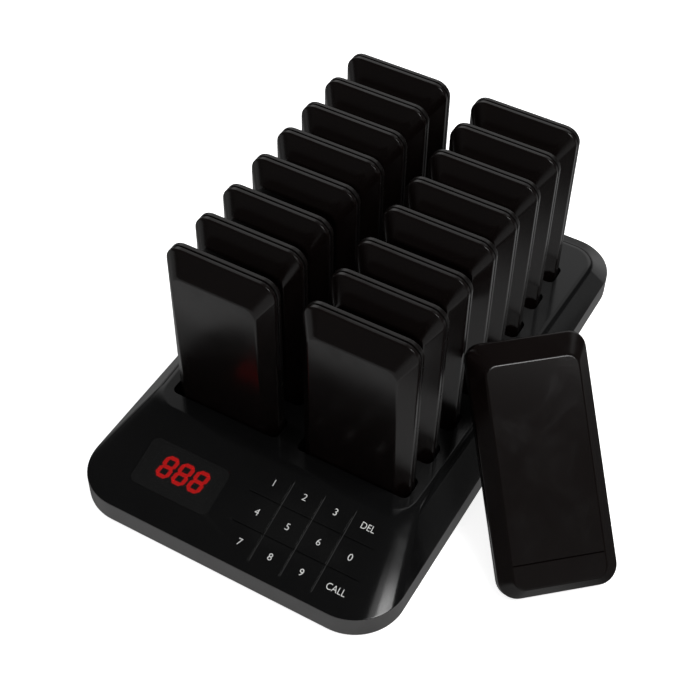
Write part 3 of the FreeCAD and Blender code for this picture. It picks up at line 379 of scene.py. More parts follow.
def mesh_of(piece: bpy.types.Object) -> bpy.types.Mesh:
    """Removes an object and keeps its mesh.

    Args:
        piece: the object.

    Returns:
        The mesh.
    """
    mesh = piece.data
    bpy.data.objects.remove(piece)
    return mesh


def soften(piece: bpy.types.Object, width: float, angle: float, segments: int = 2) -> None:
    """Breaks an object's sharp edges for good.

    Args:
        piece: the object.
        width: how far the rounding reaches from an edge.
        angle: the least turn, in degrees, that counts as an edge.
        segments: facets across the rounding.
    """
    bevel = piece.modifiers.new("soften", "BEVEL")
    bevel.width = width * MM
    bevel.segments = segments
    bevel.limit_method = "ANGLE"
    bevel.angle_limit = math.radians(angle)
    bevel.miter_outer = "MITER_ARC"
    settle(piece)


def smooth(piece: bpy.types.Object, angle: float = 32.0) -> None:
    """Shades an object smoothly, keeping its edges crisp and its flat faces flat.

    Args:
        piece: the object.
        angle: the turn, in degrees, from which an edge stays crisp.
    """
    piece.data.shade_smooth()
    piece.data.set_sharp_from_angle(angle=math.radians(angle))
    weighted = piece.modifiers.new("flat_faces", "WEIGHTED_NORMAL")
    weighted.keep_sharp = True
    weighted.mode = "FACE_AREA"


def finish_piece(
    piece: bpy.types.Object,
    material: bpy.types.Material,
    body: str,
    replaced: Sequence[str] = (),
) -> bpy.types.Object:
    """Gives a piece its finish and ties it to the frame.

    Args:
        piece: the finished object, in place.
        material: its finish.
        body: the body that it rides on.
        replaced: nodes that the piece stands for.

    Returns:
        The piece.
    """
    piece.data.materials.clear()
    piece.data.materials.append(material)
    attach(piece, body)
    if replaced:
        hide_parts(*replaced)
    log.info("%s: %d faces on %s", piece.name, len(piece.data.polygons), body)
    return piece


# ---------------------------------------------------------------------------------------------------------
# Node trees
# ---------------------------------------------------------------------------------------------------------


@dataclass(frozen=True)
class Ramp:
    """A smooth change from low to high while what is read runs from start to end."""

    start: float
    end: float
    low: float = 0.0
    high: float = 1.0


class Sheet:
    """A node tree being filled in, with short ways to add and join nodes."""

    def __init__(self, tree: bpy.types.NodeTree) -> None:
        """Starts on an existing tree."""
        self.tree = tree

    def feed(self, source: Source, target: bpy.types.NodeSocket) -> None:
        """Joins an output to an input, or sets the input.

        Args:
            source: the output, or a number or colour.
            target: the input.
        """
        if isinstance(source, bpy.types.NodeSocket):
            self.tree.links.new(source, target)
        elif isinstance(source, tuple):
            target.default_value = (*source, 1.0)
        else:
            target.default_value = source

    def add(self, kind: str, inputs: dict[str, Source] | None = None, **settings: object) -> bpy.types.Node:
        """Adds a node.

        Args:
            kind: the node's type.
            inputs: what each named input takes.
            settings: the node's properties.

        Returns:
            The node.
        """
        node = self.tree.nodes.new(kind)
        for name, value in settings.items():
            setattr(node, name, value)
        for name, source in (inputs or {}).items():
            self.feed(source, node.inputs[name])
        return node

    def place(self) -> bpy.types.NodeSocket:
        """Adds the object's own coordinates."""
        return self.add("ShaderNodeTexCoord").outputs["Object"]

    def joined(self, kind: str, *sources: Source, **settings: object) -> bpy.types.NodeSocket:
        """Adds a node whose inputs are taken in order.

        Args:
            kind: the node's type.
            sources: what its first inputs take.
            settings: the node's properties.

        Returns:
            Its first output.
        """
        node = self.add(kind, **settings)
        for source, target in zip(sources, node.inputs):
            self.feed(source, target)
        return node.outputs[0]

    def chain(self, operation: str, *terms: Source) -> bpy.types.NodeSocket:
        """Joins numbers and outputs by one operation, from left to right.

        Args:
            operation: the math nodes' operation.
            terms: two or more numbers and outputs.

        Returns:
            The result's output.
        """
        result = terms[0]
        for term in terms[1:]:
            result = self.joined("ShaderNodeMath", result, term, operation=operation)
        return result

    def ramp(self, value: bpy.types.NodeSocket, ramp: Ramp) -> bpy.types.NodeSocket:
        """Adds a smooth map from one range to another.

        Args:
            value: the output to map.
            ramp: the two ranges.

        Returns:
            The mapped output.
        """
        inputs = {
            "Value": value,
            "From Min": ramp.start,
            "From Max": ramp.end,
            "To Min": ramp.low,
            "To Max": ramp.high,
        }
        return self.add("ShaderNodeMapRange", inputs, interpolation_type="SMOOTHSTEP").outputs["Result"]

    def mixed_colour(self, factor: Source, first: Source, second: Source) -> bpy.types.NodeSocket:
        """Adds a colour mix.

        Args:
            factor: 0 gives the first colour and 1 the second.
            first: the first colour.
            second: the second colour.

        Returns:
            The mixed colour's output.
        """
        mix = self.add("ShaderNodeMix", {"Factor": factor}, data_type="RGBA")
        for label, colour in (("A", first), ("B", second)):
            self.feed(colour, [s for s in mix.inputs if s.name == label and s.type == "RGBA"][0])
        return [s for s in mix.outputs if s.type == "RGBA"][0]

    def relief(self, shader: bpy.types.Node, height: bpy.types.NodeSocket, depth: float) -> None:
        """Adds relief to a shader.

        Args:
            shader: the shader.
            height: the relief's height, from 0 to 1.
            depth: its depth in millimetres.
        """
        bump = self.add("ShaderNodeBump", {"Distance": depth * MM, "Height": height})
        self.feed(bump.outputs["Normal"], shader.inputs["Normal"])


def new_group(
    name: str, inputs: dict[str, float], outputs: Sequence[str]
) -> tuple[Sheet, bpy.types.Node, bpy.types.Node]:
    """Makes an empty shader node group.

    Args:
        name: the group's name.
        inputs: number inputs and their defaults.
        outputs: number outputs.

    Returns:
        The group's sheet, its input node and its output node.
    """
    tree = bpy.data.node_groups.new(name, "ShaderNodeTree")
    for label, value in inputs.items():
        socket = tree.interface.new_socket(label, in_out="INPUT", socket_type="NodeSocketFloat")
        socket.default_value = value
    for label in outputs:
        tree.interface.new_socket(label, in_out="OUTPUT", socket_type="NodeSocketFloat")
    sheet = Sheet(tree)
    return sheet, sheet.add("NodeGroupInput"), sheet.add("NodeGroupOutput")


def fine_grain_group() -> bpy.types.NodeTree:
    """Makes the texture of moulded plastic: spark-eroded pits and a slower unevenness.

    Returns:
        The group.
    """
    slow_share = 0.03
    sheet, given, result = new_group("fine_grain", {"Size": 0.4, "Pits": 0.5}, ["Height", "Unevenness"])
    scale = sheet.chain("DIVIDE", 1 / MM, given.outputs["Size"])
    fine = {"Vector": sheet.place(), "Scale": scale}
    slow = {**fine, "Scale": sheet.chain("MULTIPLY", scale, slow_share)}
    pits = sheet.add("ShaderNodeTexVoronoi", {**fine, "Smoothness": 0.6}, feature="SMOOTH_F1")
    ripple = sheet.add("ShaderNodeTexNoise", {**fine, "Detail": 3.0})
    waves = sheet.add("ShaderNodeTexNoise", {**slow, "Detail": 4.0})
    blend = {"Factor": given.outputs["Pits"], "A": ripple.outputs["Fac"], "B": pits.outputs["Distance"]}
    mix = sheet.add("ShaderNodeMix", blend, data_type="FLOAT")
    sheet.feed(mix.outputs["Result"], result.inputs["Height"])
    sheet.feed(waves.outputs["Fac"], result.inputs["Unevenness"])
    return sheet.tree


def handling_group() -> bpy.types.NodeTree:
    """Makes what use leaves on a surface: faint smears that dull it, and edges that are rubbed.

    Returns:
        The group.
    """
    smeared, scuffed, sharp_edge = Ramp(0.42, 0.72), Ramp(0.35, 0.6), Ramp(0.52, 0.62)
    defaults = {"Roughness": 0.2, "Smear": 0.08, "Size": 30.0}
    sheet, given, result = new_group("handling", defaults, ["Roughness", "Rubbed"])
    cloud = {
        "Vector": sheet.place(),
        "Scale": sheet.chain("DIVIDE", 1 / MM, given.outputs["Size"]),
        "Detail": 6.0,
        "Roughness": 0.62,
        "Distortion": 0.8,
    }
    smear = sheet.add("ShaderNodeTexNoise", cloud).outputs["Fac"]
    dulled = sheet.chain("MULTIPLY", sheet.ramp(smear, smeared), given.outputs["Smear"])
    edges = sheet.ramp(sheet.add("ShaderNodeNewGeometry").outputs["Pointiness"], sharp_edge)
    rubbed = sheet.chain("MULTIPLY", edges, sheet.ramp(smear, scuffed))
    sheet.feed(sheet.chain("ADD", given.outputs["Roughness"], dulled), result.inputs["Roughness"])
    sheet.feed(rubbed, result.inputs["Rubbed"])
    return sheet.tree


def new_material(name: str) -> tuple[bpy.types.Material, Sheet, bpy.types.Node]:
    """Makes a material with its shader in place.

    Args:
        name: the material's name.

    Returns:
        The material, its sheet and its Principled shader.
    """
    material = bpy.data.materials.new(name)
    material.use_nodes = True
    shader = material.node_tree.nodes["Principled BSDF"]
    return material, Sheet(material.node_tree), shader


# ---------------------------------------------------------------------------------------------------------
# Finishes
# ---------------------------------------------------------------------------------------------------------


def grey(level: float) -> Colour:
    """An even grey."""
    return (level, level, level)


def scaled(colour: Colour, share: float) -> Colour:
    """A colour made lighter or darker."""
    return tuple(channel * share for channel in colour)


@dataclass(frozen=True)
class Moulding:
    """A moulded plastic, rubber or metal finish.

    worn is the colour of rubbed edges. grain_size, depth and smear_size are millimetres. pits is the share
    of pits in the grain, smear the roughness that handling adds, and uneven how far the tone wanders.
    """

    look: Look
    colour: Colour
    worn: Colour
    roughness: float
    grain_size: float
    depth: float
    pits: float
    smear: float
    smear_size: float = 30.0
    uneven: float = 0.15
    alpha: float = 1.0
    metallic: float = 0.0

    def build(self, groups: dict[str, bpy.types.NodeTree]) -> bpy.types.Material:
        """Builds the material.

        Args:
            groups: the shared node groups by name.

        Returns:
            The material.
        """
        material, sheet, shader = new_material(self.look.value)
        size = {"Size": self.grain_size, "Pits": self.pits}
        grain = sheet.add("ShaderNodeGroup", size, node_tree=groups["fine_grain"])
        use = {"Roughness": self.roughness, "Smear": self.smear, "Size": self.smear_size}
        handling = sheet.add("ShaderNodeGroup", use, node_tree=groups["handling"])
        darker, lighter = scaled(self.colour, 1 - self.uneven), scaled(self.colour, 1 + self.uneven)
        tone = sheet.mixed_colour(grain.outputs["Unevenness"], darker, lighter)
        worn = sheet.mixed_colour(handling.outputs["Rubbed"], tone, self.worn)
        sheet.feed(self.alpha, shader.inputs["Alpha"])
        sheet.feed(self.metallic, shader.inputs["Metallic"])
        sheet.feed(worn, shader.inputs["Base Color"])
        sheet.feed(handling.outputs["Roughness"], shader.inputs["Roughness"])
        sheet.relief(shader, grain.outputs["Height"], self.depth)
        return material


@dataclass(frozen=True)
class Glow:
    """A lit surface whose tone wanders between a dim and a full colour; grain_size is millimetres."""

    look: Look
    colour: Colour
    strength: float
    dimmest: float = 0.75
    roughness: float = 0.35
    grain_size: float = 0.8

    def build(self, groups: dict[str, bpy.types.NodeTree]) -> bpy.types.Material:
        """Builds the material.

        Args:
            groups: the shared node groups by name.

        Returns:
            The material.
        """
        material, sheet, shader = new_material(self.look.value)
        grain = sheet.add("ShaderNodeGroup", {"Size": self.grain_size}, node_tree=groups["fine_grain"])
        tone = sheet.mixed_colour(grain.outputs["Height"], scaled(self.colour, self.dimmest), self.colour)
        sheet.feed(tone, shader.inputs["Base Color"])
        sheet.feed(tone, shader.inputs["Emission Color"])
        sheet.feed(self.strength, shader.inputs["Emission Strength"])
        sheet.feed(self.roughness, shader.inputs["Roughness"])
        return material


@dataclass(frozen=True)
class Circuit:
    """A circuit board: solder mask over tracks; pitch, grain_size and relief are millimetres."""

    look: Look
    mask: Colour
    track: Colour
    pitch: float = 2.5
    track_edge: Ramp = Ramp(0.34, 0.42)
    roughness: Ramp = Ramp(0.3, 0.7, 0.28, 0.42)
    grain_size: float = 1.0
    relief: float = 0.03

    def build(self, groups: dict[str, bpy.types.NodeTree]) -> bpy.types.Material:
        """Builds the material.

        Args:
            groups: the shared node groups by name.

        Returns:
            The material.
        """
        material, sheet, shader = new_material(self.look.value)
        layout = {"Vector": sheet.place(), "Scale": 1 / MM / self.pitch}
        tracks = sheet.add("ShaderNodeTexVoronoi", layout, distance="CHEBYCHEV", feature="F1")
        line = sheet.ramp(tracks.outputs["Distance"], self.track_edge)
        grain = sheet.add("ShaderNodeGroup", {"Size": self.grain_size}, node_tree=groups["fine_grain"])
        rough = sheet.ramp(grain.outputs["Unevenness"], self.roughness)
        sheet.feed(sheet.mixed_colour(line, self.mask, self.track), shader.inputs["Base Color"])
        sheet.feed(rough, shader.inputs["Roughness"])
        sheet.relief(shader, line, self.relief)
        return material


FINISHES = (
    Moulding(
        Look.GLOSS_COVER, colour=(0.0034, 0.0034, 0.0035), worn=grey(0.0045), roughness=0.12,
        grain_size=0.5, depth=0.0015, pits=0.3, smear=0.05,
    ),
    Moulding(
        Look.SATIN_SHELL, colour=(0.05, 0.0485, 0.0485), worn=grey(0.06), roughness=0.42,
        grain_size=0.35, depth=0.01, pits=0.7, smear=0.05,
    ),
    Moulding(
        Look.SMOKED_WINDOW, colour=grey(0.008), worn=grey(0.011), roughness=0.14,
        grain_size=0.6, depth=0.001, pits=0.2, smear=0.04, alpha=0.8,
    ),
    Moulding(
        Look.DISPLAY_BLACK, colour=grey(0.003), worn=grey(0.006), roughness=0.5,
        grain_size=0.3, depth=0.008, pits=0.6, smear=0.05,
    ),
    Moulding(
        Look.PAGER_GLOSS, colour=(0.003, 0.0018, 0.0016), worn=(0.008, 0.007, 0.007), roughness=0.18,
        grain_size=0.45, depth=0.002, pits=0.4, smear=0.07,
    ),
    Moulding(
        Look.PAGER_BACK, colour=(0.0034, 0.0026, 0.0024), worn=(0.009, 0.008, 0.008), roughness=0.26,
        grain_size=0.45, depth=0.003, pits=0.5, smear=0.07,
    ),
    Moulding(
        Look.RACK_MOULDING, colour=grey(0.006), worn=grey(0.012), roughness=0.5,
        grain_size=0.3, depth=0.01, pits=0.7, smear=0.05,
    ),
    Moulding(
        Look.BLACK_MOULDING, colour=grey(0.012), worn=grey(0.02), roughness=0.4,
        grain_size=0.3, depth=0.008, pits=0.6, smear=0.05,
    ),
    Moulding(
        Look.FOOT_RUBBER, colour=grey(0.014), worn=grey(0.03), roughness=0.72,
        grain_size=0.25, depth=0.02, pits=0.8, smear=0.1,
    ),
    Moulding(
        Look.PRINTED_WHITE, colour=(0.62, 0.62, 0.6), worn=grey(0.5), roughness=0.45,
        grain_size=0.2, depth=0.002, pits=0.5, smear=0.05, uneven=0.06,
    ),
    Moulding(
        Look.GREY_RIBBON, colour=(0.33, 0.34, 0.36), worn=grey(0.4), roughness=0.45,
        grain_size=0.6, depth=0.004, pits=0.2, smear=0.05,
    ),
    Moulding(
        Look.TINNED_STEEL, colour=(0.55, 0.55, 0.56), worn=grey(0.62), roughness=0.28,
        grain_size=0.7, depth=0.004, pits=0.2, smear=0.12, metallic=1.0,
    ),
    Moulding(
        Look.ZINC_SCREW, colour=(0.46, 0.47, 0.49), worn=grey(0.55), roughness=0.33,
        grain_size=0.3, depth=0.006, pits=0.3, smear=0.1, metallic=1.0,
    ),
    Moulding(
        Look.GILT_CONTACT, colour=(0.78, 0.57, 0.22), worn=(0.8, 0.62, 0.3), roughness=0.25,
        grain_size=0.3, depth=0.003, pits=0.3, smear=0.1, metallic=1.0,
    ),
    Moulding(
        Look.CELL_FOIL, colour=(0.6, 0.61, 0.63), worn=(0.66, 0.66, 0.68), roughness=0.32,
        grain_size=2.0, depth=0.05, pits=0.2, smear=0.1, metallic=1.0,
    ),
    Moulding(
        Look.CLEAR_LENS, colour=(0.75, 0.73, 0.7), worn=(0.75, 0.73, 0.7), roughness=0.2,
        grain_size=0.8, depth=0.002, pits=0.3, smear=0.05,
    ),
    Glow(Look.LIT_SEGMENT, colour=(1.0, 0.002, 0.002), strength=9.0),
    Circuit(Look.CIRCUIT_BOARD, mask=(0.008, 0.07, 0.03), track=(0.02, 0.15, 0.06)),
)

SLOT_FINISHES = {
    "cover_gloss": Look.GLOSS_COVER,
    "shell_satin": Look.SATIN_SHELL,
    "window_smoked": Look.SMOKED_WINDOW,
    "segment_red": Look.LIT_SEGMENT,
    "module_black": Look.DISPLAY_BLACK,
    "circuit_green": Look.CIRCUIT_BOARD,
    "spring_steel": Look.TINNED_STEEL,
    "chip_black": Look.BLACK_MOULDING,
    "shield_steel": Look.TINNED_STEEL,
    "wire_jacket": Look.BLACK_MOULDING,
    "rack_black": Look.RACK_MOULDING,
    "contact_brass": Look.GILT_CONTACT,
    "ribbon_grey": Look.GREY_RIBBON,
    "inlet_black": Look.BLACK_MOULDING,
    "foot_rubber": Look.FOOT_RUBBER,
    "screw_steel": Look.ZINC_SCREW,
    "pager_front_gloss": Look.PAGER_GLOSS,
    "pager_back_satin": Look.PAGER_BACK,
    "cell_foil": Look.CELL_FOIL,
    "led_clear": Look.CLEAR_LENS,
}


class Finishes:
    """All the finishes, built once."""

    node_crisp_angle: float = 30.0

    def __init__(self) -> None:
        """Builds the shared groups and every material."""
        groups = {"fine_grain": fine_grain_group(), "handling": handling_group()}
        self.materials = {finish.look: finish.build(groups) for finish in FINISHES}

    def __getitem__(self, look: Look) -> bpy.types.Material:
        """The finish's material."""
        return self.materials[look]

    def dress_nodes(self) -> None:
        """Gives every node of the frame the finish of its slot."""
        for part in frame["record"]["subparts"]:
            node = frame["nodes"][part["node"]]
            node.data.materials.clear()
            node.data.materials.append(self[SLOT_FINISHES[part["material_slot"]]])
            node.data.shade_smooth()
            node.data.set_sharp_from_angle(angle=math.radians(self.node_crisp_angle))


# ---------------------------------------------------------------------------------------------------------
# The base
# ---------------------------------------------------------------------------------------------------------


@dataclass
class Housing:
    """The base's cover, tray and feet; the outline and heights come from the frame."""

    finishes: Finishes
    corner_steps: int = 20
    rim_corner: float = 24.0
    rim_round: float = 0.3
    rim_round_share: float = 0.02
    deck_corner: float = 13.0
    deck_front: float = 49.3
    deck_rear: float = 19.6
    deck_front_width: float = 135.0
    deck_rear_width: float = 148.2
    deck_round: float = 2.4
    deck_round_share: float = 0.15
    cover_wall: float = 2.4
    cover_crisp_angle: float = 24.0
    cut_round: float = 0.25
    cut_round_angle: float = 60.0
    slot_side_gap: float = 1.3
    slot_face_gap: float = 1.0
    slot_corner: float = 3.0
    pager_front_foot: float = 7.0
    pager_back_depth: float = 3.6
    groove_width: float = 0.8
    groove_lip: float = 0.01
    groove_lip_fall: float = 25.0
    groove_wall_fall: float = 50.0
    shell_wall: float = 2.2
    shell_floor: float = 2.0
    shell_round: float = 0.7
    shell_lip: Profile = ((0.25, 0.0), (0.07, 0.08), (0.0, 0.25))
    shell_hole_round: float = 0.2
    shell_hole_angle: float = 50.0
    hole_start: float = -2.0
    foot_radius: float = 6.0
    foot_gap: float = 0.1
    foot_recess: float = 0.8
    foot_rings: Profile = ((0, 0.25), (1.8, 0.25), (2.1, 0.0), (3.0, 0.0), (3.3, 0.3), (3.8, 0.3), (4.1, 0.0))
    foot_side: Profile = ((5.2, 0.0), (5.7, 0.12), (5.93, 0.45), (6.0, 0.9))
    screw_hole: float = 3.0
    screw_hole_depth: float = 3.6
    screw_boss: float = 4.5
    screw_bore: float = 1.7
    boss_root: float = -0.4
    boss_shelf: float = 1.6
    boss_top: float = 3.1
    screws_front: float = 30.0
    screws_middle: float = 52.0
    screws_rear: float = 28.4
    screws_front_x: float = 64.0
    screws_rear_x: float = 60.0
    inlet_axis_height: float = 3.9
    inlet_hole: float = 3.5
    inlet_hole_start: float = -3.0

    def __post_init__(self) -> None:
        """Reads the base's box from the frame."""
        shell_low, shell_high = in_mm(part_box("bottom_shell"))
        self.half_width = shell_high.x
        self.front = shell_low.y
        self.rear = shell_high.y
        self.underside = shell_low.z
        self.rim = shell_high.z
        self.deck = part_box("top_cover")[1].z / MM
        self.slope = math.atan((self.deck - self.rim) / self.deck_front)

    def on_slope(self, x: float = 0.0, up: float = 0.0, out: float = 0.0) -> Matrix:
        """The control panel's frame, moved along it.

        Args:
            x: to the right.
            up: up the slope from the rim.
            out: out of the slope.

        Returns:
            The frame, in millimetres.
        """
        frame_of_slope = Matrix.Translation((0, self.front, self.rim)) @ Matrix.Rotation(self.slope, 4, "X")
        return frame_of_slope @ Matrix.Translation((x, up, out))

    def inlet_axis(self) -> Matrix:
        """The power inlet's axis, from the rear wall's face to the inside.

        Returns:
            The axis as a frame's z, in millimetres.
        """
        low, high = in_mm(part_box("power_inlet"))
        mouth = Matrix.Translation(((low.x + high.x) / 2, self.rear, low.z + self.inlet_axis_height))
        return mouth @ Matrix.Rotation(math.pi / 2, 4, "X")

    def rim_ring(self, height: float, inset: float = 0.0) -> Loop:
        """The base's plan outline.

        Args:
            height: the ring's height.
            inset: how far it lies inside the outline.

        Returns:
            The ring.
        """
        half = self.half_width - inset
        depth = (self.front + inset, self.rear - inset)
        return lifted(rounded_box((-half, half), depth, self.rim_corner - inset, self.corner_steps), height)

    def deck_ring(self, height: float, inset: float = 0.0) -> Loop:
        """The deck's outline.

        Args:
            height: the ring's height.
            inset: how far it lies inside the outline.

        Returns:
            The ring.
        """
        front_half = self.deck_front_width / 2 - inset
        rear_half = self.deck_rear_width / 2 - inset
        low = self.front + self.deck_front + inset
        high = self.rear - self.deck_rear - inset
        corners = [(-front_half, low), (front_half, low), (rear_half, high), (-rear_half, high)]
        outline = rounded_outline(corners, [self.deck_corner - inset] * 4, self.corner_steps)
        return lifted(outline, height)

    def slot_cutters(self) -> list[list[Loop]]:
        """The prisms that cut a slot round each docked pager.

        Returns:
            The rings of each prism.
        """
        cutters = []
        for number in range(1, DOCKED_PAGERS + 1):
            low, high = in_mm(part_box(f"pager_{number:02d}_back_shell"))
            seam = high.y - self.pager_back_depth
            outline = rounded_box(
                (low.x - self.slot_side_gap, high.x + self.slot_side_gap),
                (seam - self.pager_front_foot - self.slot_face_gap, high.y + self.slot_face_gap),
                self.slot_corner,
            )
            cutters.append(prism(outline, self.deck - 2 * self.cover_wall, self.deck + self.cover_wall))
        return cutters

    def groove(self, start: Pair, end: Pair) -> list[Loop]:
        """A V-shaped cutter with shallow lips and pointed ends.

        Args:
            start: one end, on the slope.
            end: the other end.

        Returns:
            The cutter's rings, from the keel up.
        """
        first, last = Vector(start), Vector(end)
        along = (last - first).normalized()
        side = Vector((-along.y, along.x))
        half, lip = self.groove_width / 2, self.groove_lip
        lip_rise = math.tan(math.radians(self.groove_lip_fall))
        wall_depth = (half - lip) * math.tan(math.radians(self.groove_wall_fall))
        keel = (0.0, -lip * lip_rise - wall_depth)
        rings = []
        for reach, height in (keel, (half - lip, -lip * lip_rise), (half + lip, lip * lip_rise)):
            near, far = first + along * (half - reach), last - along * (half - reach)
            corners = (near - side * reach, far - side * reach, far + side * reach, near + side * reach)
            rings.append([Vector((p.x, p.y, height)) for p in corners])
        return placed(rings, self.on_slope())

    def build_cover(self, panel: "ControlPanel") -> bpy.types.Object:
        """Builds the glossy cover: a shell with a rounded deck edge, cut for slots, window and key lines.

        Args:
            panel: the control panel, which gives the places of its cuts.

        Returns:
            The cover.
        """
        wall = self.cover_wall
        rim, deck = self.rim_ring(self.rim), self.deck_ring(self.deck)
        inner_rim, inner_deck = self.rim_ring(self.rim - wall, wall), self.deck_ring(self.deck - wall, wall)
        rim_start, rim_end = self.rim_ring(self.rim, self.rim_round), mixed(rim, deck, self.rim_round_share)
        deck_start = mixed(rim, deck, 1 - self.deck_round_share)
        rings = [
            inner_deck,
            mixed(inner_rim, inner_deck, wall / (self.deck - self.rim)),
            *rounded_edge(rim_start, rim, rim_end, steps=3),
            *rounded_edge(deck_start, deck, self.deck_ring(self.deck, self.deck_round), steps=6),
        ]
        cover = lofted("cover", [rings])
        recess, opening = panel.recess_cutters()
        cut_away(cover, lofted("slots_and_recess", [*self.slot_cutters(), recess]))
        soften(cover, self.cut_round, self.cut_round_angle, segments=3)
        upright = [self.groove(start, end) for start, end in panel.upright_lines()]
        across = [self.groove(start, end) for start, end in panel.cross_lines()]
        for group in ([opening], upright, across):
            cut_away(cover, lofted("panel_cutters", group))
        smooth(cover, self.cover_crisp_angle)
        return finish_piece(cover, self.finishes[Look.GLOSS_COVER], "base", ["top_cover"])

    def build_shell(self) -> bpy.types.Object:
        """Builds the satin tray under the cover, with screw wells, foot recesses and the inlet's hole.

        Returns:
            The tray.
        """
        wall, edge, floor = self.shell_wall, self.shell_round, self.underside + self.shell_floor
        start, corner = self.rim_ring(self.underside + edge), self.rim_ring(self.underside)
        rings = [
            self.rim_ring(floor, wall),
            self.rim_ring(self.rim, wall),
            *(self.rim_ring(self.rim - drop, inset) for inset, drop in self.shell_lip),
            *rounded_edge(start, corner, self.rim_ring(self.underside, edge)),
        ]
        shell = lofted("tray", [rings])
        foot, screw, inlet = self.foot_radius + self.foot_gap, self.screw_hole, self.inlet_hole
        foot_top, screw_top = self.underside + self.foot_recess, self.underside + self.screw_hole_depth
        cutters = bmesh.new()
        for at in self.foot_places():
            add_turned(cutters, ((foot, self.hole_start), (foot, foot_top)), at)
        for at in self.screw_places():
            add_turned(cutters, ((screw, self.hole_start), (screw, screw_top)), at)
        add_turned(cutters, ((inlet, self.inlet_hole_start), (inlet, 2 * wall)), self.inlet_axis())
        cut_away(shell, new_object("underside_holes", cutters))
        soften(shell, self.shell_hole_round, self.shell_hole_angle)
        root, shelf, top = floor + self.boss_root, floor + self.boss_shelf, floor + self.boss_top
        boss, bore = self.screw_boss, self.screw_bore
        section = ((screw, root), (boss, root), (boss, top), (bore, top), (bore, shelf), (screw, shelf))
        add_collars(shell, section, self.screw_places())
        smooth(shell)
        return finish_piece(shell, self.finishes[Look.SATIN_SHELL], "base", ["bottom_shell"])

    def foot_places(self) -> list[Matrix]:
        """The four feet's axes, read from the corners of their box.

        Returns:
            A frame for each foot.
        """
        low, high = in_mm(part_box("rubber_feet"))
        radius = self.foot_radius
        across, along = (low.x + radius, high.x - radius), (low.y + radius, high.y - radius)
        return [Matrix.Translation((x, y, 0)) for x in across for y in along]

    def screw_places(self) -> list[Matrix]:
        """The six housing screws' axes.

        Returns:
            A frame for each screw.
        """
        front, middle = self.front + self.screws_front, self.front + self.screws_middle
        rear, wide, narrow = self.rear - self.screws_rear, self.screws_front_x, self.screws_rear_x
        places = [(-wide, front), (wide, front), (0.0, middle), (-narrow, rear), (narrow, rear), (0.0, rear)]
        return [Matrix.Translation((x, y, 0)) for x, y in places]

    def build_feet(self) -> bpy.types.Object:
        """Builds four rubber feet with a rounded edge and two moulded rings underneath.

        Returns:
            The feet.
        """
        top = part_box("rubber_feet")[1].z / MM
        profile = (*self.foot_rings, *self.foot_side, (self.foot_radius, top), (0, top))
        feet = turned("feet", profile, self.foot_places())
        smooth(feet)
        return finish_piece(feet, self.finishes[Look.FOOT_RUBBER], "base", ["rubber_feet"])


@dataclass
class PowerInlet:
    """The power inlet in the rear wall: a socket with a rounded nose, and its centre contact."""

    finishes: Finishes
    housing: Housing
    seat_gap: float = 0.2
    corner: float = 0.6
    edge: float = 0.4
    edge_corner: float = 0.3
    corner_steps: int = 4
    bore: Profile = ((2.8, -1.0), (2.8, 9.0))
    nose: Profile = ((2.8, 0.3), (3.0, 0.0), (3.15, 0.0), (3.3, 0.15), (3.3, 2.3), (2.8, 2.3))
    contact: Profile = ((0, 0.6), (0.6, 0.75), (0.9, 1.1), (1.0, 1.6), (1.0, 9.0), (0, 9.0))

    def build(self) -> list[bpy.types.Object]:
        """Builds the socket and the contact.

        Returns:
            Both pieces.
        """
        low, high = in_mm(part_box("power_inlet"))
        edge, seat = self.edge, self.housing.rear - self.housing.shell_wall - self.seat_gap
        outline = rounded_box((low.x, high.x), (low.y, seat), self.corner, self.corner_steps)
        sides, depth = (low.x + edge, high.x - edge), (low.y + edge, seat - edge)
        inset = rounded_box(sides, depth, self.edge_corner, self.corner_steps)
        rings = [*prism(outline, low.z, high.z - edge), lifted(inset, high.z)]
        socket = lofted("inlet_socket", [rings])
        axis = self.housing.inlet_axis()
        cut_away(socket, turned("inlet_bore", self.bore, [axis]))
        add_collars(socket, self.nose, [axis])
        contact = turned("inlet_contact", self.contact, [axis], segments=32)
        smooth(socket)
        smooth(contact)
        return [
            finish_piece(socket, self.finishes[Look.BLACK_MOULDING], "base", ["power_inlet"]),
            finish_piece(contact, self.finishes[Look.GILT_CONTACT], "base"),
        ]


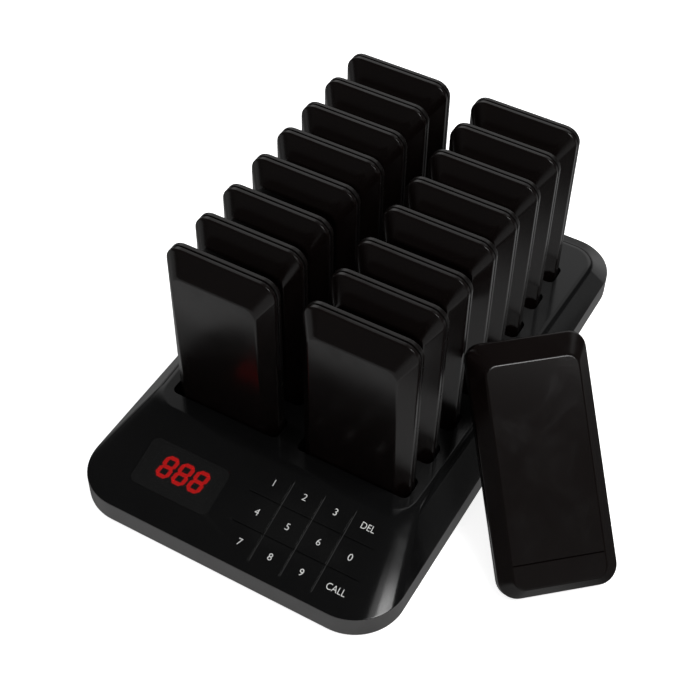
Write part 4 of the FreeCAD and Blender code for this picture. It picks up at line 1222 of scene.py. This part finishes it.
@dataclass
class ControlPanel:
    """What lies in the slope: the display and the touch keys. Places are measured along and up the slope."""

    finishes: Finishes
    housing: Housing
    window_x: Pair = (-55.2, -13.4)
    window_up: Pair = (14.0, 38.0)
    window_corner: float = 3.5
    window_thickness: float = 1.2
    window_gap: float = 0.1
    window_edge: float = 0.25
    recess_top: float = 1.0
    opening_margin: float = 3.5
    opening_gap: float = 0.5
    opening_corner: float = 0.5
    opening_bottom: float = -8.0
    cut_overlap: float = 0.2
    digit_count: int = 3
    digit_left: float = -46.6
    digit_low: float = 21.6
    digit_width: float = 7.0
    digit_height: float = 11.3
    digit_pitch: float = 8.3
    digit_slant: float = 0.15
    bar_width: float = 1.8
    bar_gap: float = 0.1
    bar_thickness: float = 0.35
    bar_drop: float = 0.15
    key_left: float = 6.1
    key_pitch: float = 15.65
    key_low: float = 11.0
    key_rise: float = 15.2
    line_low: float = 5.4
    line_high: float = 46.4
    line_left: float = -2.8
    line_right: float = 62.0
    letter_height: float = 3.4
    word_height: float = 3.3
    word_squeeze: float = 0.88
    capital_share: float = 0.729
    letter_thinning: float = -0.02
    print_thickness: float = 0.012
    curve_steps: int = 6

    def recess_cutters(self) -> tuple[list[Loop], list[Loop]]:
        """The prisms that cut the window's recess and the display's opening.

        Returns:
            The rings of both.
        """
        low, high = in_mm(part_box("display_module"))
        recess = rounded_box(self.window_x, self.window_up, self.window_corner)
        foot = self.digit_low - self.opening_margin
        head = self.digit_low + self.digit_height + self.opening_margin
        sides = (low.x - self.opening_gap, high.x + self.opening_gap)
        opening = rounded_box(sides, (foot, head), self.opening_corner, steps=3)
        slope, seat = self.housing.on_slope(), -self.window_thickness
        return (
            placed(prism(recess, seat, self.recess_top), slope),
            placed(prism(opening, self.opening_bottom, seat + self.cut_overlap), slope),
        )

    def upright_lines(self) -> list[tuple[Pair, Pair]]:
        """Ends of the three lines that run up the slope between the keys."""
        places = [self.key_left + (i + 0.5) * self.key_pitch for i in range(3)]
        return [((x, self.line_low), (x, self.line_high)) for x in places]

    def cross_lines(self) -> list[tuple[Pair, Pair]]:
        """Ends of the two lines that run across the slope between the keys."""
        places = [self.key_low + (i + 0.5) * self.key_rise for i in range(2)]
        return [((self.line_left, y), (self.line_right, y)) for y in places]

    def build_window(self) -> bpy.types.Object:
        """Builds the smoked window, with a fine rounded edge.

        Returns:
            The window.
        """
        gap, edge = self.window_gap, self.window_edge
        x = (self.window_x[0] + gap, self.window_x[1] - gap)
        up = (self.window_up[0] + gap, self.window_up[1] - gap)
        corner = self.window_corner - gap
        outline = rounded_box(x, up, corner)
        inset = rounded_box((x[0] + edge, x[1] - edge), (up[0] + edge, up[1] - edge), corner - edge)
        rings = [
            lifted(outline, -self.window_thickness),
            *rounded_edge(lifted(outline, -edge), lifted(outline, 0), lifted(inset, 0), steps=3),
        ]
        window = lofted("window", [placed(rings, self.housing.on_slope())])
        smooth(window)
        look = self.finishes[Look.SMOKED_WINDOW]
        return finish_piece(window, look, "base", ["display_window"])

    def bar(self, x: float, y: float, across: bool, length: float) -> list[Loop]:
        """One lit bar with pointed ends, leaning with its digit.

        Args:
            x: the bar's middle, from the digit's left edge.
            y: the bar's middle, from the digit's foot.
            across: whether the bar lies across the digit.
            length: tip to tip.

        Returns:
            The bar's rings.
        """
        half, tip = self.bar_width / 2, length / 2
        flat = tip - half
        profile = [(-tip, 0), (-flat, -half), (flat, -half), (tip, 0), (flat, half), (-flat, half)]
        if not across:
            profile = [(-v, u) for u, v in profile]
        points = [(x + u, y + v) for u, v in profile]
        leaning = [Vector((u + v * self.digit_slant, v, 0)) for u, v in points]
        top = -self.window_thickness - self.bar_drop
        return prism(leaning, top - self.bar_thickness, top)

    def build_digits(self) -> bpy.types.Object:
        """Builds the seven-segment digits, all bars lit.

        Returns:
            The digits.
        """
        half, gap = self.bar_width / 2, self.bar_gap
        across = self.digit_width - self.bar_width
        rise = (self.digit_height - self.bar_width) / 2
        bars = [(self.digit_width / 2, half + i * rise, True, across - gap) for i in range(3)]
        for x in (half, half + across):
            bars += [(x, half + (j + 0.5) * rise, False, rise - gap) for j in range(2)]
        shapes = []
        for digit in range(self.digit_count):
            at = self.housing.on_slope(self.digit_left + digit * self.digit_pitch, self.digit_low)
            shapes += [placed(self.bar(*bar), at) for bar in bars]
        look = self.finishes[Look.LIT_SEGMENT]
        return finish_piece(lofted("digits", shapes), look, "base", ["display_segments"])

    def build_labels(self) -> list[bpy.types.Object]:
        """Builds the printed numbers and words on the touch keys.

        Returns:
            One piece for each label.
        """
        rows = (("7", "8", "9", "CALL"), ("4", "5", "6", "0"), ("1", "2", "3", "DEL"))
        shifts = {"CALL": 1.4, "DEL": 0.4}
        labels = []
        for row, words in enumerate(rows):
            for column, word in enumerate(words):
                x = self.key_left + column * self.key_pitch + shifts.get(word, 0.0)
                labels.append(self.label(word, x, self.key_low + row * self.key_rise))
        return labels

    def label(self, word: str, x: float, up: float) -> bpy.types.Object:
        """Builds one printed word, centred on a point of the slope.

        Args:
            word: the letters.
            x: to the right of the middle plane.
            up: up the slope.

        Returns:
            The label as a mesh.
        """
        single = len(word) == 1
        curve = bpy.data.curves.new(f"label_{word}", "FONT")
        curve.body = word
        curve.align_x = "CENTER"
        curve.align_y = "CENTER"
        curve.size = (self.letter_height if single else self.word_height) / self.capital_share * MM
        curve.offset = self.letter_thinning * MM
        curve.extrude = self.print_thickness * MM
        curve.resolution_u = self.curve_steps
        text = add_to_scene(f"text_{word}", curve)
        graph = bpy.context.evaluated_depsgraph_get()
        mesh = bpy.data.meshes.new_from_object(text.evaluated_get(graph))
        bpy.data.objects.remove(text)
        at = self.housing.on_slope(x, up, self.print_thickness)
        at.translation *= MM
        if not single:
            at = at @ Matrix.Scale(self.word_squeeze, 4, (1, 0, 0))
        mesh.transform(at)
        return finish_piece(add_to_scene(f"label_{word}", mesh), self.finishes[Look.PRINTED_WHITE], "base")


# ---------------------------------------------------------------------------------------------------------
# Pagers
# ---------------------------------------------------------------------------------------------------------


@dataclass
class PagerPattern:
    """A pager in its own frame: x across, y from front to back with the seam at 0, z up from its bottom."""

    width: float = 54.0
    height: float = 111.5
    top_corner: float = 7.5
    foot_corner: float = 9.0
    band: float = 2.3
    band_round: float = 0.4
    seam: float = 0.3
    seam_chamfer: float = 0.22
    front_top: float = 9.0
    front_foot: float = 7.0
    front_rim_share: float = 0.08
    face_side: float = 6.0
    face_top: float = 10.0
    face_foot: float = 4.0
    face_corner: float = 5.5
    face_round: float = 0.7
    face_round_share: float = 0.91
    least_corner: float = 1.0
    back: float = 3.6
    back_side: float = 2.5
    back_rim_share: float = 0.25
    back_round: float = 0.9
    back_round_share: float = 0.7
    wall: float = 1.6
    inner_face_inset: float = 1.2
    tongue: float = 1.2
    tongue_gap: float = 0.1
    tongue_wall: float = 1.2
    line_height: float = 15.0
    line_length: float = 41.0
    line_width: float = 0.6
    line_depth: float = 0.7
    line_lift: float = 0.3
    steps: int = 10
    runs: int = 6

    def upright(self, half: float, low: float, high: float, foot: float, top: float) -> Loop:
        """An upright rounded outline, flat in the plan's plane.

        Args:
            half: half its width.
            low: its foot's height.
            high: its top's height.
            foot: radius of its lower corners.
            top: radius of its upper corners.

        Returns:
            The outline, with heights as y.
        """
        corners = [(-half, low), (half, low), (half, high), (-half, high)]
        return rounded_outline(corners, [foot, foot, top, top], self.steps, self.runs)

    def outline(self, inset: float, forward: float) -> Loop:
        """The pager's outline.

        Args:
            inset: how far the ring lies inside the outline.
            forward: how far it stands before the seam.

        Returns:
            The ring.
        """
        half, top = self.width / 2 - inset, self.height - inset
        flat = self.upright(half, inset, top, self.foot_corner - inset, self.top_corner - inset)
        return [Vector((p.x, -forward, p.y)) for p in flat]

    def face(self, inset: float, behind: float = 0.0) -> Loop:
        """The leaning front face's outline.

        Args:
            inset: how far the ring lies inside the face's edge.
            behind: how far it lies behind the face.

        Returns:
            The ring.
        """
        half = self.width / 2 - self.face_side - inset
        low, high = self.face_foot + inset, self.height - self.face_top - inset
        radius = max(self.face_corner - inset, self.least_corner)
        flat = self.upright(half, low, high, radius, radius)
        return [Vector((p.x, -self.face_depth(p.y) + behind, p.y)) for p in flat]

    def face_depth(self, height: float) -> float:
        """How far the front face stands before the seam at a height."""
        share = (height - self.face_foot) / (self.height - self.face_top - self.face_foot)
        return self.front_foot + (self.front_top - self.front_foot) * share

    def front_mesh(self) -> bpy.types.Mesh:
        """Builds the front shell: edge band, swelling bevels, leaning face and the engraved line.

        Returns:
            The mesh.
        """
        wall, seam, chamfer = self.wall, self.seam, self.seam_chamfer
        rim, face = self.outline(0, self.band), self.face(0)
        band_end = self.outline(0, self.band - self.band_round)
        rings = [
            self.face(self.inner_face_inset, wall),
            self.outline(wall, self.tongue + seam),
            self.outline(wall, seam),
            self.outline(chamfer, seam),
            self.outline(0, seam + chamfer),
            *rounded_edge(band_end, rim, mixed(rim, face, self.front_rim_share), steps=3),
            *rounded_edge(mixed(rim, face, self.face_round_share), face, self.face(self.face_round)),
        ]
        shell = lofted("front_shell_pattern", [rings])
        cut_away(shell, lofted("pager_line", [self.line_cutter()]))
        return mesh_of(shell)

    def line_cutter(self) -> list[Loop]:
        """The V-shaped cutter of the engraved line near the pager's foot.

        Returns:
            Its keel and its top.
        """
        half, wide, lift = self.line_length / 2, self.line_width / 2, self.line_lift
        share = 1 + lift / self.line_depth
        face = -self.face_depth(self.line_height)
        reach, rise = half + wide * (share - 1), wide * share
        corners = ((-reach, -rise), (reach, -rise), (reach, rise), (-reach, rise))
        top = [Vector((x, face - lift, self.line_height + z)) for x, z in corners]
        ends = (-half + wide, half - wide, half - wide, -half + wide)
        keel = [Vector((x, face + self.line_depth, self.line_height)) for x in ends]
        return [keel, top]

    def back_mesh(self) -> bpy.types.Mesh:
        """Builds the back shell: edge band, shallow back with soft edges, and the tongue behind the seam.

        Returns:
            The mesh.
        """
        seam, chamfer = self.seam, self.seam_chamfer
        outer = self.wall + self.tongue_gap
        inner = outer + self.tongue_wall
        rim, back = self.outline(0, -self.band), self.outline(self.back_side, -self.back)
        band_end = self.outline(0, self.band_round - self.band)
        back_end = self.outline(self.back_side + self.back_round, -self.back)
        rings = [
            self.outline(inner, self.wall - self.back),
            self.outline(inner, self.tongue),
            self.outline(outer, self.tongue),
            self.outline(outer, -seam),
            self.outline(chamfer, -seam),
            self.outline(0, -seam - chamfer),
            *rounded_edge(band_end, rim, mixed(rim, back, self.back_rim_share), steps=3),
            *rounded_edge(mixed(rim, back, self.back_round_share), back, back_end),
        ]
        return mesh_of(lofted("back_shell_pattern", [rings]))


@dataclass
class PagerSet:
    """The sixteen docked pagers and the loose one; angles are degrees."""

    finishes: Finishes
    pattern: PagerPattern
    loose_turn: float = 41.6
    loose_lean: float = 47.7

    def __post_init__(self) -> None:
        """Makes the two shells' meshes, which all the pagers share."""
        self.meshes = {"front_shell": self.pattern.front_mesh(), "back_shell": self.pattern.back_mesh()}
        self.slots = {"front_shell": "pager_front_gloss", "back_shell": "pager_back_satin"}

    def shell(self, name: str, piece: str, mesh: bpy.types.Mesh, at: Matrix) -> bpy.types.Object:
        """Builds one shell of one pager.

        Args:
            name: the pager.
            piece: front_shell or back_shell.
            mesh: its mesh.
            at: the mesh's place in metres.

        Returns:
            The shell.
        """
        part = add_to_scene(f"{name}_{piece}_dressed", mesh)
        part.matrix_world = at
        smooth(part)
        slot = self.slots[piece]
        return finish_piece(part, self.finishes[SLOT_FINISHES[slot]], name, [f"{name}_{piece}"])

    def build_docked(self) -> None:
        """Stands a pager on each docked pager's place."""
        for number in range(1, DOCKED_PAGERS + 1):
            name = f"pager_{number:02d}"
            low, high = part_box(f"{name}_back_shell")
            at = Matrix.Translation(((low.x + high.x) / 2, high.y - self.pattern.back * MM, low.z))
            for piece, mesh in self.meshes.items():
                self.shell(name, piece, mesh, at)

    def build_loose(self) -> None:
        """Leans the loose pager against the docked ones, where its node's box is."""
        turn, lean = math.radians(self.loose_turn), math.radians(self.loose_lean)
        along = Vector((math.cos(turn), math.sin(turn), 0))
        level = Vector((-math.sin(turn), math.cos(turn), 0))
        rise = level * math.sin(lean) + Vector((0, 0, math.cos(lean)))
        leaning = Matrix((along, rise.cross(along), rise)).transposed()
        points = [leaning @ vertex.co for vertex in self.meshes["back_shell"].vertices]
        low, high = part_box("pager_17_back_shell")
        middle = Vector([(min(p[i] for p in points) + max(p[i] for p in points)) / 2 for i in range(3)])
        at = Matrix.Translation((low + high) / 2 - middle) @ leaning.to_4x4()
        for piece, mesh in self.meshes.items():
            moved = mesh.copy()
            moved.transform(at)
            self.shell("pager_17", piece, moved, Matrix.Identity(4))


# ---------------------------------------------------------------------------------------------------------
# Studio
# ---------------------------------------------------------------------------------------------------------


def direction(azimuth: float, elevation: float) -> Vector:
    """The direction towards a place round the object, in degrees; azimuth 0 is in front of it."""
    turn, rise = math.radians(azimuth), math.radians(elevation)
    return Vector((math.sin(turn) * math.cos(rise), -math.cos(turn) * math.cos(rise), math.sin(rise)))


def seen_plainly(sheet: Sheet, path: bpy.types.Node) -> bpy.types.NodeSocket:
    """Whether the eye sees a surface itself or through a clear one."""
    return sheet.chain("MAXIMUM", path.outputs["Is Camera Ray"], path.outputs["Is Transmission Ray"])


@dataclass(frozen=True)
class Camera:
    """The camera, in metres, degrees and, for the lens, millimetres."""

    target: Point = (0.06617, -0.13472, 0.18566)
    distance: float = 0.46317
    azimuth: float = 28.864
    elevation: float = 47.805
    roll: float = 1.158
    lens: float = 73.1
    sensor: float = 36.0
    nearest: float = 0.01

    def build(self) -> None:
        """Sets up the camera."""
        data = bpy.data.cameras.new("camera")
        data.lens = self.lens
        data.sensor_width = self.sensor
        data.clip_start = self.nearest
        camera = add_to_scene("camera", data)
        back = direction(self.azimuth, self.elevation)
        right = Vector((0, 0, 1)).cross(back).normalized()
        up = back.cross(right)
        roll = math.radians(self.roll)
        rolled_right = right * math.cos(roll) + up * math.sin(roll)
        rolled_up = up * math.cos(roll) - right * math.sin(roll)
        turn = Matrix((rolled_right, rolled_up, back)).transposed().to_4x4()
        camera.matrix_world = Matrix.Translation(Vector(self.target) + back * self.distance) @ turn
        bpy.context.scene.camera = camera


@dataclass(frozen=True)
class Lamp:
    """A soft rectangular lamp that looks at a point near the object, in metres, degrees and watts.

    azimuth, elevation and distance say where it stands, seen from its aim. spin turns it about its own
    axis, and glossy says whether glossy surfaces mirror it.
    """

    name: str
    azimuth: float
    elevation: float
    distance: float
    size: Pair
    watts: float
    aim: Point = (0.0, 0.0, 0.0)
    spin: float = 0.0
    glossy: bool = False

    def build(self) -> None:
        """Sets up the lamp."""
        data = bpy.data.lights.new(self.name, "AREA")
        data.shape = "RECTANGLE"
        data.size, data.size_y = self.size
        data.energy = self.watts
        lamp = add_to_scene(self.name, data)
        way = direction(self.azimuth, self.elevation)
        lamp.location = Vector(self.aim) + way * self.distance
        spin = Matrix.Rotation(math.radians(self.spin), 3, "Z")
        lamp.rotation_euler = (way.to_track_quat("Z", "Y").to_matrix() @ spin).to_euler()
        lamp.visible_camera = False
        lamp.visible_glossy = self.glossy


@dataclass(frozen=True)
class Floor:
    """The pale floor: white to the eye and shadowed under the object.

    Gloss sees a painted reflection in place of the floor: a dark floor with a pale strip along each side of
    the base, standing in for how the lit floor round it would mirror. The ramps read metres on the floor and
    give each strip's glow.
    """

    size: float = 12.0
    paint: Colour = grey(0.8)
    lift: float = 0.8
    front: Ramp = Ramp(-0.122, -0.136, 0.05, 0.32)
    front_near: Ramp = Ramp(-0.19, -0.14, 1.0, 1.6)
    left: Ramp = Ramp(-0.08, -0.095, 0.05, 0.2)
    right: Ramp = Ramp(0.04, 0.09, 0.0, 0.36)
    right_far: Ramp = Ramp(0.13, 0.165, 1.0, 0.14)
    rear: Ramp = Ramp(0.16, 0.2, 0.0, 0.22)

    def painted_floor_reflection(self, sheet: Sheet) -> bpy.types.NodeSocket:
        """Adds the painted reflection that gloss sees in place of the floor.

        Args:
            sheet: the floor's nodes.

        Returns:
            The glow's strength.
        """
        # painted reflection: pale strips beside the base stand in for the lit floor that gloss would mirror
        axes = sheet.add("ShaderNodeSeparateXYZ", {"Vector": sheet.place()}).outputs
        x, y = axes["X"], axes["Y"]
        front = sheet.chain("MULTIPLY", sheet.ramp(y, self.front), sheet.ramp(y, self.front_near))
        right = sheet.chain("MULTIPLY", sheet.ramp(x, self.right), sheet.ramp(x, self.right_far))
        return sheet.chain("MAXIMUM", front, right, sheet.ramp(x, self.left), sheet.ramp(y, self.rear))

    def build(self) -> None:
        """Lays the floor."""
        half = self.size / 2
        build = bmesh.new()
        corners = ((-half, -half), (half, -half), (half, half), (-half, half))
        build.faces.new([build.verts.new((x, y, 0)) for x, y in corners])
        floor = new_object("floor", build)
        material, sheet, _ = new_material("floor_white")
        material.node_tree.nodes.clear()
        path = sheet.add("ShaderNodeLightPath")
        white = sheet.add("ShaderNodeBsdfDiffuse", {"Color": self.paint}).outputs[0]
        glow = sheet.add("ShaderNodeEmission", {"Strength": self.lift}).outputs[0]
        painted_floor_reflection = sheet.add("ShaderNodeEmission", {"Strength": self.painted_floor_reflection(sheet)}).outputs[0]
        lit = sheet.joined("ShaderNodeAddShader", white, glow)
        for_eye = sheet.joined("ShaderNodeMixShader", seen_plainly(sheet, path), white, lit)
        # glossy rays see the painted reflection instead of the white floor
        surface = sheet.joined("ShaderNodeMixShader", path.outputs["Is Glossy Ray"], for_eye, painted_floor_reflection)
        sheet.add("ShaderNodeOutputMaterial", {"Surface": surface})
        floor.data.materials.append(material)


@dataclass(frozen=True)
class Room:
    """The room: white to the eye and soft light for the surfaces.

    Gloss sees only a painted reflection: a dark room with a pale wall behind, a glow low on the right and a
    faint one low on the left, seen by glossy rays alone. The ramps read the direction of sight, and soft and
    base are strengths.
    """

    soft: float = 0.44
    base: float = 0.036
    behind: Ramp = Ramp(0.2, 0.5)
    right_end: Ramp = Ramp(0.45, 0.2)
    edge_of_wall: Ramp = Ramp(0.795, 0.75, 0.0, 0.4)
    fall_up_the_wall: Ramp = Ramp(0.76, 0.6, 0.0, 0.4)
    above_floor: Ramp = Ramp(0.05, 0.4)
    ahead: Ramp = Ramp(-0.2, -0.35)
    to_right: Ramp = Ramp(0.35, 0.6)
    to_left: Ramp = Ramp(0.4, 0.2)
    right_glow: Ramp = Ramp(0.62, 0.46, 0.0, 0.17)
    left_glow: Ramp = Ramp(0.55, 0.3, 0.0, 0.05)

    def painted_room_reflection(self, sheet: Sheet) -> bpy.types.NodeSocket:
        """Adds the painted reflection that glossy rays see.

        Args:
            sheet: the room's nodes.

        Returns:
            The light's strength.
        """
        # painted reflection: this wall and these glows are seen by glossy rays only and light nothing else
        way = sheet.add("ShaderNodeTexCoord").outputs["Generated"]
        axes = sheet.add("ShaderNodeSeparateXYZ", {"Vector": way}).outputs
        x, y, z = axes["X"], axes["Y"], axes["Z"]
        above, ahead = sheet.ramp(z, self.above_floor), sheet.ramp(y, self.ahead)
        paleness = sheet.chain("ADD", sheet.ramp(z, self.edge_of_wall), sheet.ramp(z, self.fall_up_the_wall))
        behind, right_end = sheet.ramp(y, self.behind), sheet.ramp(x, self.right_end)
        to_right, to_left = sheet.ramp(x, self.to_right), sheet.ramp(x, self.to_left)
        wall = sheet.chain("MULTIPLY", paleness, behind, right_end, above)
        right = sheet.chain("MULTIPLY", sheet.ramp(z, self.right_glow), ahead, to_right)
        left = sheet.chain("MULTIPLY", sheet.ramp(z, self.left_glow), ahead, to_left, above)
        return sheet.chain("ADD", wall, right, left, self.base)

    def build(self) -> None:
        """Sets up the world."""
        world = bpy.data.worlds.new("room")
        world.use_nodes = True
        bpy.context.scene.world = world
        sheet = Sheet(world.node_tree)
        world.node_tree.nodes.clear()
        path = sheet.add("ShaderNodeLightPath")
        to_white = sheet.chain("MULTIPLY", seen_plainly(sheet, path), 1.0 - self.soft)
        plain = sheet.chain("ADD", to_white, self.soft)
        # glossy rays see the painted reflection; every other ray sees the plain room
        gloss = {"Factor": path.outputs["Is Glossy Ray"], "A": plain, "B": self.painted_room_reflection(sheet)}
        strength = sheet.add("ShaderNodeMix", gloss, data_type="FLOAT").outputs["Result"]
        light = sheet.add("ShaderNodeBackground", {"Color": grey(1.0), "Strength": strength}).outputs[0]
        sheet.add("ShaderNodeOutputWorld", {"Surface": light})


@dataclass(frozen=True)
class Studio:
    """Camera, floor, room and lamps; near_corner is the base's front right corner, in metres."""

    near_corner: Point = (0.069, -0.128, 0.014)

    def lamps(self) -> tuple[Lamp, ...]:
        """The key on the right, a fill from the left and the small softbox that the near corner mirrors.

        Returns:
            The lamps.
        """
        return (
            Lamp("key", azimuth=103.0, elevation=60.0, distance=1.6, size=(0.6, 0.6), watts=14.0),
            Lamp("left_fill", azimuth=-95.0, elevation=30.0, distance=1.8, size=(0.9, 0.5), watts=6.0),
            Lamp(
                "corner_softbox", azimuth=89.4, elevation=58.4, distance=0.7, size=(0.175, 0.27), watts=1.1,
                aim=self.near_corner, spin=24.0, glossy=True,
            ),
            Lamp(
                "softbox_edge", azimuth=84.6, elevation=66.9, distance=0.7, size=(0.16, 0.26), watts=0.2,
                aim=self.near_corner, spin=20.0, glossy=True,
            ),
        )

    def build(self) -> None:
        """Builds the whole studio."""
        for item in (Camera(), Floor(), Room(), *self.lamps()):
            item.build()
        bpy.context.scene.view_settings.view_transform = "Standard"


def main() -> None:
    """Builds the studio, the finishes and every piece, in that order."""
    logging.basicConfig(level=logging.INFO, format="%(message)s")
    Studio().build()
    finishes = Finishes()
    finishes.dress_nodes()
    housing = Housing(finishes)
    panel = ControlPanel(finishes, housing)
    housing.build_cover(panel)
    housing.build_shell()
    housing.build_feet()
    PowerInlet(finishes, housing).build()
    panel.build_window()
    panel.build_digits()
    panel.build_labels()
    pagers = PagerSet(finishes, PagerPattern())
    pagers.build_docked()
    pagers.build_loose()


if __name__ == "__main__":
    main()
